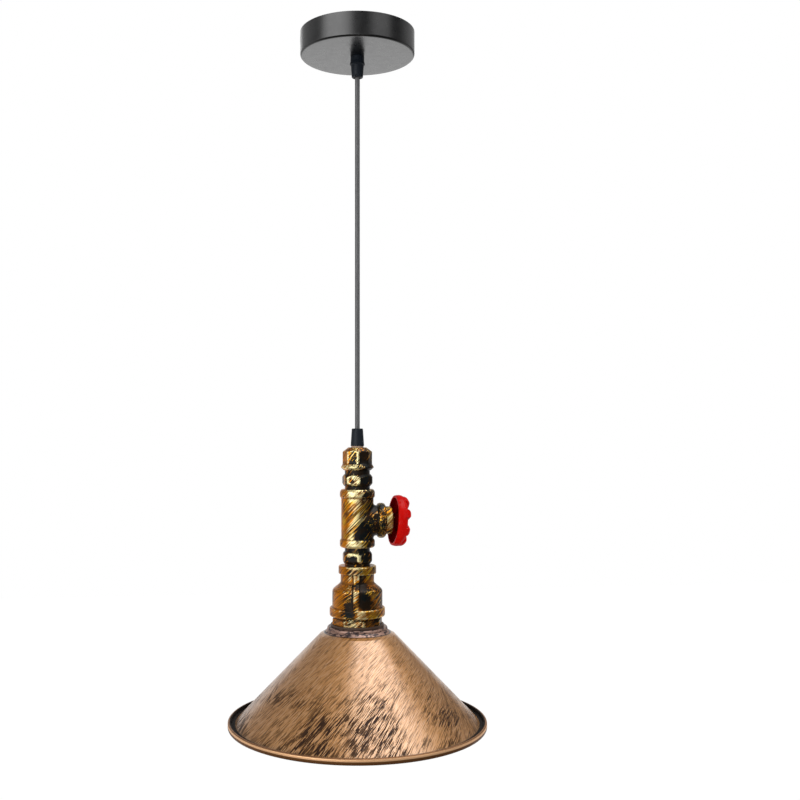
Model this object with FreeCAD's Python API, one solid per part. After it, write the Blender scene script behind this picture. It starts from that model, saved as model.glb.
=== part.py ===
import FreeCAD, Part
import math
import os

os.makedirs("parts", exist_ok=True)

V = FreeCAD.Vector
UP = V(0, 0, 1)
OUT = V(1, 0, 0)

# Pipe pendant light, in millimetres. The origin is the centre of the ceiling rose's top face,
# +Z points up, and the branch with the handwheel points along +X. The lamp hangs into -Z.

# Clearances and stock thicknesses
thread_clearance = 0.1
slip_clearance = 0.1
running_clearance = 0.08
face_gap = 0.3
rose_sheet = 1.2
shade_sheet = 1.0

# Ceiling rose: a pressed cup over a strap bracket
rose_diameter = 120.0
rose_height = 25.0
rose_edge_radius = 2.2
bracket_width = 20.0
bracket_thickness = 2.0
bracket_ear_drop = 16.0
bracket_ear_gap = 0.7
slot_spacing = 88.0
slot_length = 12.0
slot_width = 4.5
cover_screw_radius = 2.0
cover_screw_length = 9.0
cover_screw_drop = 9.0
cover_screw_head_radius = 3.8
cover_screw_head_depth = 1.8
screw_slot_width = 0.9
screw_slot_depth = 0.8
small_slot_width = 0.7

# Terminal block and earth point on the strap
block_length = 33.0
block_width = 16.0
block_height = 11.0
block_offset = 19.0
way_pitch = 10.4
way_radius = 2.4
block_groove_width = 1.6
block_groove_depth = 2.2
insert_wall = 0.9
insert_setback = 1.0
block_screw_radius = 1.5
block_screw_head_radius = 2.4
block_screw_head_height = 1.6
terminal_screw_radius = 1.3
terminal_screw_length = 4.6
terminal_slot_width = 0.5
terminal_slot_depth = 0.7
earth_point = -32.5
earth_screw_radius = 2.0
earth_head_radius = 3.6
earth_head_height = 2.6
earth_washer_radius = 4.5
earth_washer_thickness = 1.0

# Flex: a round three-core cord
cord_diameter = 5.2
core_radius = 0.9
core_spread = 1.1
core_fan = 1.9
core_bend = 3.0
core_tight_bend = 2.4
core_run_in = 4.5
lead_bend = 2.5
tail_past_stub = 1.0

# Cord grips: a plastic M10 body, a taper cap, a rubber clamp ring and a rubber bush
grip_stub_radius = 5.0
grip_stub_length = 12.0
upper_grip_length = 22.0
upper_body_length = 9.4
upper_body_radius = 7.2
upper_collar_radius = 8.0
upper_collar_height = 4.6
upper_collar_edge = 1.2
upper_cap_top_radius = 6.8
grip_mouth_radius = 5.9
lower_cap_length = 18.3
lower_cap_base_radius = 7.1
grip_rim_radius = 0.9
mouth_to_pivot = 1.2
bush_radius = 4.0
bush_half_height = 1.0
swing_limit = 20.0
tilt_limit = 15.0
bush_pocket = 1.4
swivel_room_gap = 0.25
clamp_length = 2.5
clamp_outer_radius = 4.1
grip_neck_radius = 4.1
grip_nut_across_flats = 15.0
grip_nut_height = 3.5
grip_washer_radius = 6.4
grip_washer_thickness = 1.5
rose_washer_radius = 9.0
claw_count = 6
claw_slot_width = 0.7
claw_slot_depth = 2.2
ferrule_radius = 3.2
ferrule_start = 2.2
ferrule_length = 2.0
cord_past_pivot = 4.4

# Hanging length of the flex between the two grip mouths
cord_free_length = 368.3

# Malleable iron fittings in 3/4 inch and 1 1/2 inch pipe sizes
pipe_thread_radius = 13.2
pipe_bore_radius = 10.5
wall_at_cap_top = 4.5
cap_height = 24.0
cap_corner_radius = 15.7
cap_top_radius = 9.5
cap_shoulder_drop = 4.9
cap_band_radius = 17.2
cap_band_width = 5.4
cap_band_chamfer = 2.7
cap_band_edge = 0.8
cap_mouth_radius = 14.2
cap_corner_bearing = 3.2

nipple_across_flats = 30.0
nipple_corner_radius = 16.2
nipple_hex_height = 12.2
nipple_chamfer = 2.4
nipple_chamfer_rise = 3.0
nipple_thread_length = 14.0
upper_nipple_neck_above = 4.2
upper_nipple_neck_below = 3.7
upper_nipple_bearing = 14.0
lower_nipple_neck_above = 4.7
lower_nipple_neck_below = 2.3
lower_nipple_bearing = 7.0

tee_run = 60.4
tee_reach = 29.2
tee_run_radius = 16.8
tee_branch_radius = 15.6
tee_band_radius = 18.2
tee_band_width = 8.4
tee_top_mouth_edge = 3.4
tee_top_inner_edge = 1.6
tee_bottom_edge = 2.2
tee_branch_edge = 3.0
tee_thread_depth = 15.0
tee_fillet = 3.0
branch_drop = 2.6

socket_small_band_radius = 19.8
socket_small_band_width = 8.6
socket_neck_radius = 17.6
socket_neck_length = 9.2
socket_shoulder_length = 7.5
socket_body_radius = 26.4
socket_body_length = 18.2
socket_big_band_radius = 29.1
socket_big_band_width = 9.2
socket_band_edge = 1.6
socket_small_thread_depth = 16.0
socket_big_thread_depth = 20.0
socket_step_width = 2.0
socket_taper = 2.0
socket_taper_rise = 4.0
rib_width = 5.8
rib_rise = 1.7
rib_bearing = -2.5

bush_thread_radius = 23.9
bush_thread_length = 17.0
bush_groove = 2.0
bush_head_across_flats = 50.0
bush_head_height = 6.3
bush_head_chamfer = 0.8
bush_head_bearing = 14.0
bush_floor = 8.5
bush_hollow_radius = 17.0

# Side branch: bonnet, spindle and handwheel
bonnet_radius = 14.5
bonnet_length = 7.2
bonnet_edge = 1.4
bonnet_thread_length = 9.2
spindle_radius = 4.2
spindle_collar_radius = 7.0
spindle_collar_length = 2.6
spindle_end_radius = 3.0
spindle_shoulder_depth = 2.5
spindle_past_nut = 0.8
spindle_seat_depth = 1.0
spindle_droop = 4.5
spindle_swerve = 4.5
wheel_back_radius = 26.1
wheel_bulge_radius = 26.8
wheel_radius = 27.0
wheel_rim_back = 37.9
wheel_bulge = 40.4
wheel_wall_end = 42.9
wheel_floor = 48.8
wheel_front = 52.1
wheel_floor_radius = 21.5
wheel_wall = 2.6
wheel_web_back = 42.6
wheel_web_front = 45.5
wheel_hub_radius = 8.0
wheel_dish_radius = 16.5
wheel_dish_slope = 2.0
wheel_web_slope = 1.6
wheel_lobes = 8
wheel_lobe_round = 6.5
wheel_lobe_inset = 0.15
wheel_lobe_half_width = 4.6
wheel_lobe_crest = 0.2
wheel_washer_radius = 6.5
wheel_washer_thickness = 1.0
wheel_nut_across_flats = 10.0
wheel_nut_height = 3.4

# Shade: one spun sheet with a stepped neck, a cone, a gutter and a rolled rim
gasket_radius = 27.8
gasket_thickness = 2.6
gasket_bore_radius = 12.0
gasket_edge = 0.8
ring_top_radius = 31.2
ring_base_radius = 34.2
ring_height = 5.6
ring_round = 1.4
ring_groove_drop = 2.2
ring_groove_width = 1.0
ring_groove_depth = 0.5
shoulder_radius = 39.4
shoulder_drop = 2.6
cone_base_radius = 127.6
cone_height = 91.4
rim_radius = 135.3
rim_bead_width = 3.6
rim_bead_height = 6.6
rim_bead_rise = 3.1
rim_bead_flat = 0.2

# Stud and lampholder: an E27 holder on an M10 hollow stud
stud_radius = 5.0
stud_bore_radius = 3.6
stud_nut_across_flats = 15.0
stud_nut_height = 3.5
stud_washer_radius = 9.0
stud_washer_thickness = 1.2
stud_grip = 8.0
stud_past_nut = 1.5
holder_cap_radius = 20.0
holder_cap_neck_radius = 8.5
holder_cap_neck_length = 8.0
holder_cap_height = 24.0
holder_dome_drop = 8.0
holder_wall = 1.6
holder_skirt_length = 30.0
holder_skirt_bore_radius = 15.2
holder_skirt_edge = 1.2
core_disc_radius = 15.6
core_disc_height = 9.0
shell_radius = 13.35
shell_wall = 0.45
shell_length = 25.0
shell_rim_bore_radius = 7.6
contact_radius = 3.6
contact_height = 2.4
contact_stem_radius = 1.8
contact_pad_height = 0.4
holder_screw_radius = 1.5
holder_screw_ring = 10.0
holder_screw_length = 5.0
holder_screw_head_radius = 2.8
holder_screw_head_height = 1.8
sheath_past_neck = 3.0

# The camera of the photograph stands at -Y, turned by this angle about the lamp's axis; the
# corners of the octagons and hexagons are placed as it shows them
view_bearing = -7.0

# Heights that follow from the sizes above
rose_face = -rose_height
cord_radius = cord_diameter / 2

# The flex's lower end leans both ways at once by this angle, and its ferrule and its end face
# then reach this far sideways and down in the taper cap
double_tilt = math.acos(math.cos(math.radians(tilt_limit)) ** 2)
ferrule_reach = (ferrule_radius * math.cos(double_tilt)
                 + (ferrule_start + ferrule_length) * math.sin(double_tilt))
end_reach = cord_past_pivot * math.cos(double_tilt) + cord_radius * math.sin(double_tilt)
swivel_room_radius = ferrule_reach + swivel_room_gap
swivel_room_depth = end_reach + swivel_room_gap

upper_mouth = rose_face - upper_grip_length
upper_pivot = upper_mouth + mouth_to_pivot
lower_mouth = upper_mouth - cord_free_length
lower_pivot = lower_mouth - mouth_to_pivot
lower_cap_base = lower_mouth - lower_cap_length
cap_top = lower_cap_base - grip_washer_thickness
cap_bottom = cap_top - cap_height
upper_hex_top = cap_bottom - upper_nipple_neck_above
tee_top = upper_hex_top - nipple_hex_height - upper_nipple_neck_below
tee_bottom = tee_top - tee_run
branch_height = tee_top - tee_run / 2 - branch_drop
lower_hex_top = tee_bottom - lower_nipple_neck_above
socket_top = lower_hex_top - nipple_hex_height - lower_nipple_neck_below
socket_length = (socket_small_band_width + socket_neck_length + socket_shoulder_length
                 + socket_body_length + socket_big_band_width)
socket_bottom = socket_top - socket_length
bush_head_top = socket_bottom - bush_groove
bush_bottom = bush_head_top - bush_head_height
shade_top = bush_bottom - gasket_thickness


def turned(outline):
    """A solid turned about the lamp's vertical axis from (radius, height) points."""
    corners = [V(radius, 0, height) for radius, height in outline]
    face = Part.Face(Part.makePolygon(corners + corners[:1]))
    return face.revolve(V(0, 0, 0), UP, 360)


def disc(radius, low, high, bore=0.0):
    """An upright cylinder or tube between two heights."""
    solid = Part.makeCylinder(radius, high - low, V(0, 0, low))
    if bore:
        solid = solid.cut(Part.makeCylinder(bore, high - low, V(0, 0, low)))
    return solid


def prism(sides, corner_radius, low, high, bearing):
    """An upright regular prism with one corner at a bearing from the view's direction."""
    start = math.radians(-90 + view_bearing + bearing)
    corners = []
    for number in range(sides):
        angle = start + 2 * math.pi * number / sides
        corners.append(V(corner_radius * math.cos(angle), corner_radius * math.sin(angle), low))
    face = Part.Face(Part.makePolygon(corners + corners[:1]))
    return face.extrude(V(0, 0, high - low))


def corner_of(across_flats, sides=6):
    """Corner radius of a regular prism from its size across the flats."""
    return across_flats / 2 / math.cos(math.pi / sides)


def nut(across_flats, bore, low, height, bearing=0.0):
    """A hexagon nut with its corners turned off, its lower face at a height."""
    block = prism(6, corner_of(across_flats), low, low + height, bearing)
    corner = corner_of(across_flats)
    flat = across_flats / 2
    ease = corner - flat
    barrel = turned([(0, low), (flat, low), (corner, low + ease / 2),
                     (corner, low + height - ease / 2), (flat, low + height), (0, low + height)])
    return block.common(barrel).cut(disc(bore, low, low + height))


def eased(shape, radius, places):
    """Rounds the round edges that lie at the given (radius, height) places."""
    edges = []
    for edge in shape.Edges:
        if edge.Curve.TypeId != "Part::GeomCircle":
            continue
        for place_radius, height in places:
            same_size = abs(edge.Curve.Radius - place_radius) < 0.005
            if same_size and abs(edge.Curve.Center.z - height) < 0.005:
                edges.append(edge)
    return shape.makeFillet(radius, edges)


def sideways(shape):
    """Turns a piece built upright about the origin so that its axis lies along the branch."""
    turned_piece = shape.copy()
    turned_piece.rotate(V(0, 0, 0), V(0, 1, 0), 90)
    turned_piece.translate(V(0, 0, branch_height))
    return turned_piece


def on_spindle(shape):
    """Sets a piece built like a sideways one on the spindle, which sits crooked in the bonnet."""
    placed = sideways(shape)
    pivot = V(tee_reach + bonnet_length, 0, branch_height)
    placed.rotate(pivot, V(0, 1, 0), spindle_droop)
    placed.rotate(pivot, UP, spindle_swerve)
    return placed


def bent_wire(points, radius, bend):
    """A round wire along straight runs joined by arcs of one bend radius."""
    edges = []
    start = points[0]
    for before, corner, after in zip(points, points[1:], points[2:]):
        arriving = (corner - before).normalize()
        leaving = (after - corner).normalize()
        turn = arriving.getAngle(leaving)
        setback = bend * math.tan(turn / 2)
        first = corner - arriving * setback
        last = corner + leaving * setback
        inward = (leaving - arriving).normalize()
        centre = corner + inward * (bend / math.cos(turn / 2))
        middle = centre - inward * bend
        edges.append(Part.LineSegment(start, first).toShape())
        edges.append(Part.Arc(first, middle, last).toShape())
        start = last
    edges.append(Part.LineSegment(start, points[-1]).toShape())
    path = Part.Wire(edges)
    section = Part.Wire(Part.Circle(points[0], points[1] - points[0], radius).toShape())
    return path.makePipeShell([section], True, True)


def fused(pieces):
    """Joins touching pieces into one solid."""
    whole = pieces[0].multiFuse(pieces[1:])
    return whole.removeSplitter()


def save(name, shape):
    """Writes one sub-part to its STEP file."""
    shape.exportStep("parts/" + name + ".step")


# Ceiling rose

def rose_cover():
    """Pressed steel cup, open at the top, with the grip's hole and two screw holes."""
    radius = rose_diameter / 2
    cup = disc(radius, rose_face, 0)
    cup = eased(cup, rose_edge_radius, [(radius, rose_face)])
    hollow = disc(radius - rose_sheet, rose_face + rose_sheet, 0)
    hollow = eased(hollow, rose_edge_radius - rose_sheet, [(radius - rose_sheet, rose_face + rose_sheet)])
    cup = cup.cut(hollow)
    cup = cup.cut(disc(grip_stub_radius + slip_clearance, rose_face, rose_face + rose_sheet))
    for side in (-1, 1):
        cup = cup.cut(cover_screw(side, slip_clearance, False))
    return cup


def cover_screw(side, clearance, slotted=True):
    """Countersunk side screw, or with a clearance and no slot the hole for it."""
    edge = rose_diameter / 2
    tip = edge - cover_screw_length
    shank = Part.makeCylinder(cover_screw_radius + clearance, cover_screw_length, V(tip, 0, 0), OUT)
    head = Part.makeCone(cover_screw_radius + clearance, cover_screw_head_radius + clearance,
                         cover_screw_head_depth, V(edge - cover_screw_head_depth, 0, 0), OUT)
    screw = shank.fuse(head)
    if slotted:
        slot = Part.makeBox(screw_slot_depth, 2 * cover_screw_head_radius, screw_slot_width,
                            V(edge - screw_slot_depth, -cover_screw_head_radius, -screw_slot_width / 2))
        screw = screw.cut(slot)
    if side < 0:
        screw.rotate(V(0, 0, 0), UP, 180)
    screw.translate(V(0, 0, -cover_screw_drop))
    return screw


def ceiling_bracket():
    """Steel strap against the ceiling with slots, an earth hole and a threaded ear at each end."""
    inner_radius = rose_diameter / 2 - rose_sheet
    ear_face = math.sqrt(inner_radius ** 2 - (bracket_width / 2) ** 2) - bracket_ear_gap / 2
    strap = Part.makeBox(2 * ear_face, bracket_width, bracket_thickness,
                         V(-ear_face, -bracket_width / 2, -bracket_thickness))
    pieces = [strap]
    for side in (-1, 1):
        low_x = min(side * ear_face, side * (ear_face - bracket_thickness))
        pieces.append(Part.makeBox(bracket_thickness, bracket_width, bracket_ear_drop,
                                   V(low_x, -bracket_width / 2, -bracket_ear_drop)))
    bracket = fused(pieces)
    for side in (-1, 1):
        middle = side * slot_spacing / 2
        straight = slot_length - slot_width
        bracket = bracket.cut(Part.makeBox(straight, slot_width, bracket_thickness,
                                           V(middle - straight / 2, -slot_width / 2, -bracket_thickness)))
        for end in (-1, 1):
            round_end = Part.makeCylinder(slot_width / 2, bracket_thickness,
                                          V(middle + end * straight / 2, 0, -bracket_thickness))
            bracket = bracket.cut(round_end)
        bracket = bracket.cut(Part.makeCylinder(cover_screw_radius + thread_clearance, rose_diameter / 2,
                                                V(0, 0, -cover_screw_drop), OUT * side))
    bracket = bracket.cut(Part.makeCylinder(earth_screw_radius + thread_clearance, bracket_thickness,
                                            V(earth_point, 0, -bracket_thickness)))
    return bracket.cut(Part.makeCylinder(block_screw_radius + thread_clearance, bracket_thickness,
                                         V(-block_offset, way_pitch / 2, -bracket_thickness)))


def way_places():
    """Centres across the strap of the terminal block's three ways."""
    return [-way_pitch, 0.0, way_pitch]


def way_height():
    """Height of the ways' bores in the block."""
    return -bracket_thickness - block_height / 2


def block_top_z():
    """Height of the block's face on the strap."""
    return -bracket_thickness


def terminal_block():
    """Plastic three-way block under the strap, with a bore and two screw wells a way."""
    low = block_top_z() - block_height
    block = Part.makeBox(block_width, block_length, block_height,
                         V(-block_offset - block_width / 2, -block_length / 2, low))
    waist = Part.makeBox(block_width, block_groove_width, block_groove_depth,
                         V(-block_offset - block_width / 2, -block_groove_width / 2, low))
    for across in (-way_pitch / 2, way_pitch / 2):
        groove = waist.copy()
        groove.translate(V(0, across, 0))
        block = block.cut(groove)
    for across in way_places():
        block = block.cut(Part.makeCylinder(way_radius + slip_clearance, block_width,
                                            V(-block_offset - block_width / 2, across, way_height()), OUT))
        for end in (-1, 1):
            block = block.cut(Part.makeCylinder(terminal_screw_radius + slip_clearance,
                                                way_height() - low,
                                                V(-block_offset + end * block_width / 4, across, low)))
    hole = Part.makeCylinder(block_screw_radius + slip_clearance, block_height,
                             V(-block_offset, way_pitch / 2, low))
    well = Part.makeCylinder(block_screw_head_radius + slip_clearance, block_height - way_radius,
                             V(-block_offset, way_pitch / 2, low))
    return block.cut(hole).cut(well)


def terminal_inserts():
    """Three brass tubes in the block, each with two threaded holes."""
    length = block_width - 2 * insert_setback
    tubes = []
    for across in way_places():
        start = V(-block_offset - length / 2, across, way_height())
        tube = Part.makeCylinder(way_radius, length, start, OUT)
        tube = tube.cut(Part.makeCylinder(way_radius - insert_wall, length, start, OUT))
        for end in (-1, 1):
            tube = tube.cut(Part.makeCylinder(terminal_screw_radius + thread_clearance, 2 * way_radius,
                                              V(-block_offset + end * block_width / 4, across,
                                                way_height() - 2 * way_radius)))
        tubes.append(tube)
    return Part.makeCompound(tubes)


def terminal_screws():
    """Six slotted screws that clamp the cores in the brass tubes."""
    top = way_height() - core_radius - slip_clearance
    screws = []
    for across in way_places():
        for end in (-1, 1):
            place = V(-block_offset + end * block_width / 4, across, top - terminal_screw_length)
            screw = Part.makeCylinder(terminal_screw_radius, terminal_screw_length, place)
            slot = Part.makeBox(2 * terminal_screw_radius, terminal_slot_width, terminal_slot_depth,
                                place - V(terminal_screw_radius, terminal_slot_width / 2, 0))
            screws.append(screw.cut(slot))
    return Part.makeCompound(screws)


def block_screw():
    """Screw that holds the terminal block to the strap."""
    head_face = block_top_z() - way_radius
    length = way_radius + bracket_thickness
    place = V(-block_offset, way_pitch / 2, head_face)
    shank = Part.makeCylinder(block_screw_radius, length, place)
    head = Part.makeCylinder(block_screw_head_radius, block_screw_head_height,
                             place - V(0, 0, block_screw_head_height))
    slot = Part.makeBox(2 * block_screw_head_radius, small_slot_width, screw_slot_depth,
                        place - V(block_screw_head_radius, small_slot_width / 2, block_screw_head_height))
    return shank.fuse(head).cut(slot).removeSplitter()


def earth_washer():
    """Cup washer that traps the earth lead against the strap."""
    low = -bracket_thickness - 2 * core_radius - slip_clearance - earth_washer_thickness
    return Part.makeCylinder(earth_washer_radius, earth_washer_thickness, V(earth_point, 0, low)).cut(
        Part.makeCylinder(earth_screw_radius + slip_clearance, earth_washer_thickness,
                          V(earth_point, 0, low)))


def earth_screw():
    """Slotted brass screw through the washer into the strap."""
    low = -bracket_thickness - 2 * core_radius - slip_clearance - earth_washer_thickness
    shank = Part.makeCylinder(earth_screw_radius, -low, V(earth_point, 0, low))
    head = Part.makeCylinder(earth_head_radius, earth_head_height,
                             V(earth_point, 0, low - earth_head_height))
    slot = Part.makeBox(2 * earth_head_radius, screw_slot_width, screw_slot_depth,
                        V(earth_point - earth_head_radius, -screw_slot_width / 2, low - earth_head_height))
    return shank.fuse(head).cut(slot).removeSplitter()


def rose_tail_top():
    """Height at which the flex's sheath ends inside the rose."""
    return rose_face + grip_stub_length + tail_past_stub


def rose_core(across, place):
    """One core from the sheath's end into its way of the block."""
    foot = V(0, place * core_fan, rose_tail_top())
    mouth_x = -block_offset + block_width / 2
    end = V(-block_offset + block_width / 4 - 2 * terminal_screw_radius, across, way_height())
    knee = V(foot.x, foot.y, way_height())
    approach = V(mouth_x + core_run_in, across, way_height())
    if place == 0:
        return bent_wire([foot, knee, end], core_radius, core_bend)
    return bent_wire([foot, knee, approach, end], core_radius, core_tight_bend)


def earth_lead():
    """Short lead from the block's earth way, up under the washer on the strap."""
    height = -bracket_thickness - core_radius - slip_clearance / 2
    beside = earth_point - earth_screw_radius - core_radius - slip_clearance
    start = V(-block_offset - block_width / 4, way_pitch, way_height())
    corner = V(beside, way_pitch, way_height())
    rise = V(beside, way_pitch - lead_bend - core_radius, height)
    end = V(beside, -earth_screw_radius, height)
    return bent_wire([start, corner, rise, end], core_radius, lead_bend)


# Cord grips. Each is built with its swivel point at the origin and its mouth upward.

def swivel_hollow(depth):
    """Space in a taper cap for the cord's end, the bush and the ferrule, open at the mouth."""
    seat = bush_radius + slip_clearance
    ball = Part.makeSphere(seat).common(disc(seat, 0, mouth_to_pivot))
    throat = disc(seat, -bush_pocket, 0)
    room = disc(swivel_room_radius, -depth, -bush_pocket)
    return fused([ball, throat, room])


def grip_claws(mouth_radius):
    """Slots that part the mouth of a cap into claws."""
    slots = []
    for number in range(claw_count):
        slot = Part.makeBox(mouth_radius + 1, claw_slot_width, claw_slot_depth,
                            V(0, -claw_slot_width / 2, mouth_to_pivot - claw_slot_depth))
        slot.rotate(V(0, 0, 0), UP, 360 * number / claw_count + view_bearing)
        slots.append(slot)
    return slots[0].multiFuse(slots[1:])


def taper_cap(length, base_radius):
    """Tapered plastic cap: clawed mouth, swivel room and a threaded skirt."""
    bottom = mouth_to_pivot - length
    cap = turned([(0, bottom), (base_radius, bottom), (grip_mouth_radius, mouth_to_pivot),
                  (0, mouth_to_pivot)])
    cap = eased(cap, grip_rim_radius, [(grip_mouth_radius, mouth_to_pivot)])
    cap = cap.cut(swivel_hollow(swivel_room_depth))
    cap = cap.cut(disc(clamp_outer_radius + thread_clearance, bottom, -swivel_room_depth))
    return cap.cut(grip_claws(grip_mouth_radius))


def clamp_ring():
    """Rubber ring squeezed on the flex between the cap's room and the body's neck."""
    return disc(clamp_outer_radius, -swivel_room_depth - clamp_length, -swivel_room_depth,
                cord_radius + slip_clearance / 2)


def swivel_bush():
    """Rubber ring, round as a ball outside and waisted inside, in which the flex bends."""
    ball = Part.makeSphere(bush_radius).common(disc(bush_radius, -bush_half_height, bush_half_height))
    tilt = math.radians(swing_limit)
    waist = cord_radius / math.cos(tilt) + running_clearance
    flare = waist + bush_half_height * math.tan(tilt)
    bore = turned([(0, -bush_half_height), (flare, -bush_half_height), (waist, 0),
                   (flare, bush_half_height), (0, bush_half_height)])
    return ball.cut(bore)


def neck_top():
    """Height of the grip body's neck below the swivel point."""
    return -swivel_room_depth - clamp_length


def at_upper_end(shape):
    """Moves a grip piece to the rose's grip, mouth downward."""
    placed = shape.copy()
    placed.rotate(V(0, 0, 0), V(0, 1, 0), 180)
    placed.rotate(V(0, 0, 0), UP, 180)
    placed.translate(V(0, 0, upper_pivot))
    return placed


def at_lower_end(shape):
    """Moves a grip piece to the pipe's grip, mouth upward."""
    placed = shape.copy()
    placed.translate(V(0, 0, lower_pivot))
    return placed


def upper_cap_length():
    """Length of the rose grip's taper cap below its body."""
    return upper_grip_length - upper_body_length


def upper_grip_body():
    """Plastic body under the rose: M10 stub upward, flared collar and a neck for the cap."""
    collar_low = rose_face - upper_body_length
    collar_high = collar_low + upper_collar_height
    neck_low = upper_pivot - neck_top()
    body = turned([(0, rose_face), (upper_body_radius, rose_face), (upper_body_radius, collar_high),
                   (upper_collar_radius, collar_low + upper_collar_edge),
                   (upper_collar_radius - upper_collar_edge, collar_low),
                   (0, collar_low)])
    stub = disc(grip_stub_radius, rose_face, rose_face + grip_stub_length)
    pieces = [body, stub]
    if neck_low < collar_low:
        pieces.append(disc(grip_neck_radius, neck_low, collar_low))
    body = fused(pieces)
    bore_low = min(neck_low, collar_low)
    body = body.cut(disc(cord_radius + slip_clearance, bore_low, rose_face + grip_stub_length))
    if neck_low > collar_low:
        body = body.cut(disc(clamp_outer_radius + thread_clearance, collar_low, neck_low))
    return body


def lower_grip_body():
    """Plastic body in the pipe's grip: neck in the cap and an M10 stub down through the iron."""
    neck_high = lower_pivot + neck_top()
    stub_low = cap_top - grip_stub_length
    neck = disc(grip_neck_radius, lower_cap_base, neck_high)
    stub = disc(grip_stub_radius, stub_low, lower_cap_base)
    body = fused([neck, stub])
    return body.cut(disc(cord_radius + slip_clearance, stub_low, neck_high))


def upper_grip_washer():
    """Steel washer on the rose's inner face."""
    low = rose_face + rose_sheet
    return disc(rose_washer_radius, low, low + grip_washer_thickness,
                grip_stub_radius + slip_clearance)


def upper_grip_nut():
    """M10 lock nut inside the rose."""
    low = rose_face + rose_sheet + grip_washer_thickness
    return nut(grip_nut_across_flats, grip_stub_radius + thread_clearance, low, grip_nut_height)


def lower_grip_washer():
    """Plain washer between the taper cap and the iron cap."""
    return disc(grip_washer_radius, cap_top, lower_cap_base, grip_stub_radius + slip_clearance)


def lower_grip_nut():
    """M10 lock nut inside the iron cap."""
    low = cap_top - wall_at_cap_top - grip_nut_height
    return nut(grip_nut_across_flats, grip_stub_radius + thread_clearance, low, grip_nut_height)


# Flex

def cord():
    """The hanging flex from the bush at the rose to the ferrule at the pipe."""
    low = lower_pivot - cord_past_pivot
    round_top = Part.makeSphere(cord_radius, V(0, 0, upper_pivot))
    return fused([disc(cord_radius, low, upper_pivot), round_top])


def cord_ferrule():
    """Brass ring at the flex's lower end, on which the lamp can be turned about the flex."""
    high = lower_pivot - ferrule_start
    return disc(ferrule_radius, high - ferrule_length, high, cord_radius + running_clearance)


def rose_flex_tail():
    """The flex's sheath from the grip up into the rose."""
    return disc(cord_radius, upper_pivot + swivel_room_depth, rose_tail_top())


# Iron fittings

def pipe_cap():
    """Octagonal cap with a sloped crown and a banded mouth."""
    shoulder = cap_top - cap_shoulder_drop
    band_low = cap_bottom + cap_band_chamfer
    band_high = cap_bottom + cap_band_chamfer + cap_band_width
    flat = cap_corner_radius * math.cos(math.pi / 8)
    crown = turned([(0, cap_top), (cap_top_radius, cap_top), (cap_corner_radius, shoulder),
                    (cap_corner_radius, cap_bottom + cap_band_chamfer), (0, cap_bottom + cap_band_chamfer)])
    body = prism(8, cap_corner_radius, band_low, cap_top, cap_corner_bearing).common(crown)
    band = turned([(0, band_high), (flat, band_high), (cap_band_radius, band_low + cap_band_edge),
                   (cap_band_radius, band_low), (cap_mouth_radius, cap_bottom), (0, cap_bottom)])
    cap = fused([body, band])
    cap = cap.cut(disc(pipe_thread_radius + thread_clearance, cap_bottom, cap_top - wall_at_cap_top))
    return cap.cut(disc(grip_stub_radius + slip_clearance, cap_top - wall_at_cap_top, cap_top))


def hex_nipple(hex_top, neck_above, neck_below, bearing):
    """Hexagon nipple: a threaded tube with a chamfered hexagon between its necks."""
    hex_low = hex_top - nipple_hex_height
    high = hex_top + neck_above + nipple_thread_length
    low = hex_low - neck_below - nipple_thread_length
    hexagon = prism(6, corner_of(nipple_across_flats), hex_low, hex_top, bearing)
    edge = nipple_corner_radius - nipple_chamfer
    barrel = turned([(0, hex_low), (edge, hex_low), (nipple_corner_radius, hex_low + nipple_chamfer_rise),
                     (nipple_corner_radius, hex_top - nipple_chamfer_rise), (edge, hex_top), (0, hex_top)])
    tube = disc(pipe_thread_radius, low, high)
    return fused([hexagon.common(barrel), tube]).cut(disc(pipe_bore_radius, low, high))


def band(radius, low, high, low_edge, high_edge):
    """A round band with eased edges, as on the mouth of a cast fitting."""
    ring = eased(disc(radius, low, high), low_edge, [(radius, low)])
    return eased(ring, high_edge, [(radius, high)])


def pipe_tee():
    """Cast tee: an upright run and a branch along +X, each mouth with a band."""
    run = disc(tee_run_radius, tee_bottom, tee_top)
    branch = Part.makeCylinder(tee_branch_radius, tee_reach, V(0, 0, branch_height), OUT)
    crossing = fused([run, branch])
    meeting = []
    for edge in crossing.Edges:
        box = edge.BoundBox
        if edge.Curve.TypeId != "Part::GeomCircle" and box.XMin > 0.01 and box.XMax < tee_run_radius + 0.01:
            if box.ZLength > 1.0 and box.YLength > 1.0:
                meeting.append(edge)
    crossing = crossing.makeFillet(tee_fillet, meeting)
    bands = [band(tee_band_radius, tee_bottom, tee_bottom + tee_band_width,
                  tee_bottom_edge, tee_bottom_edge),
             band(tee_band_radius, tee_top - tee_band_width, tee_top,
                  tee_top_inner_edge, tee_top_mouth_edge),
             sideways(band(tee_band_radius, tee_reach - tee_band_width, tee_reach,
                           tee_branch_edge, tee_branch_edge))]
    tee = fused([crossing] + bands)
    mouth = pipe_thread_radius + thread_clearance
    tee = tee.cut(disc(pipe_bore_radius, tee_bottom, tee_top))
    tee = tee.cut(disc(mouth, tee_bottom, tee_bottom + tee_thread_depth))
    tee = tee.cut(disc(mouth, tee_top - tee_thread_depth, tee_top))
    tee = tee.cut(sideways(disc(mouth, tee_reach - tee_thread_depth, tee_reach)))
    return tee.cut(sideways(disc(pipe_bore_radius, 0, tee_reach)))


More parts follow.
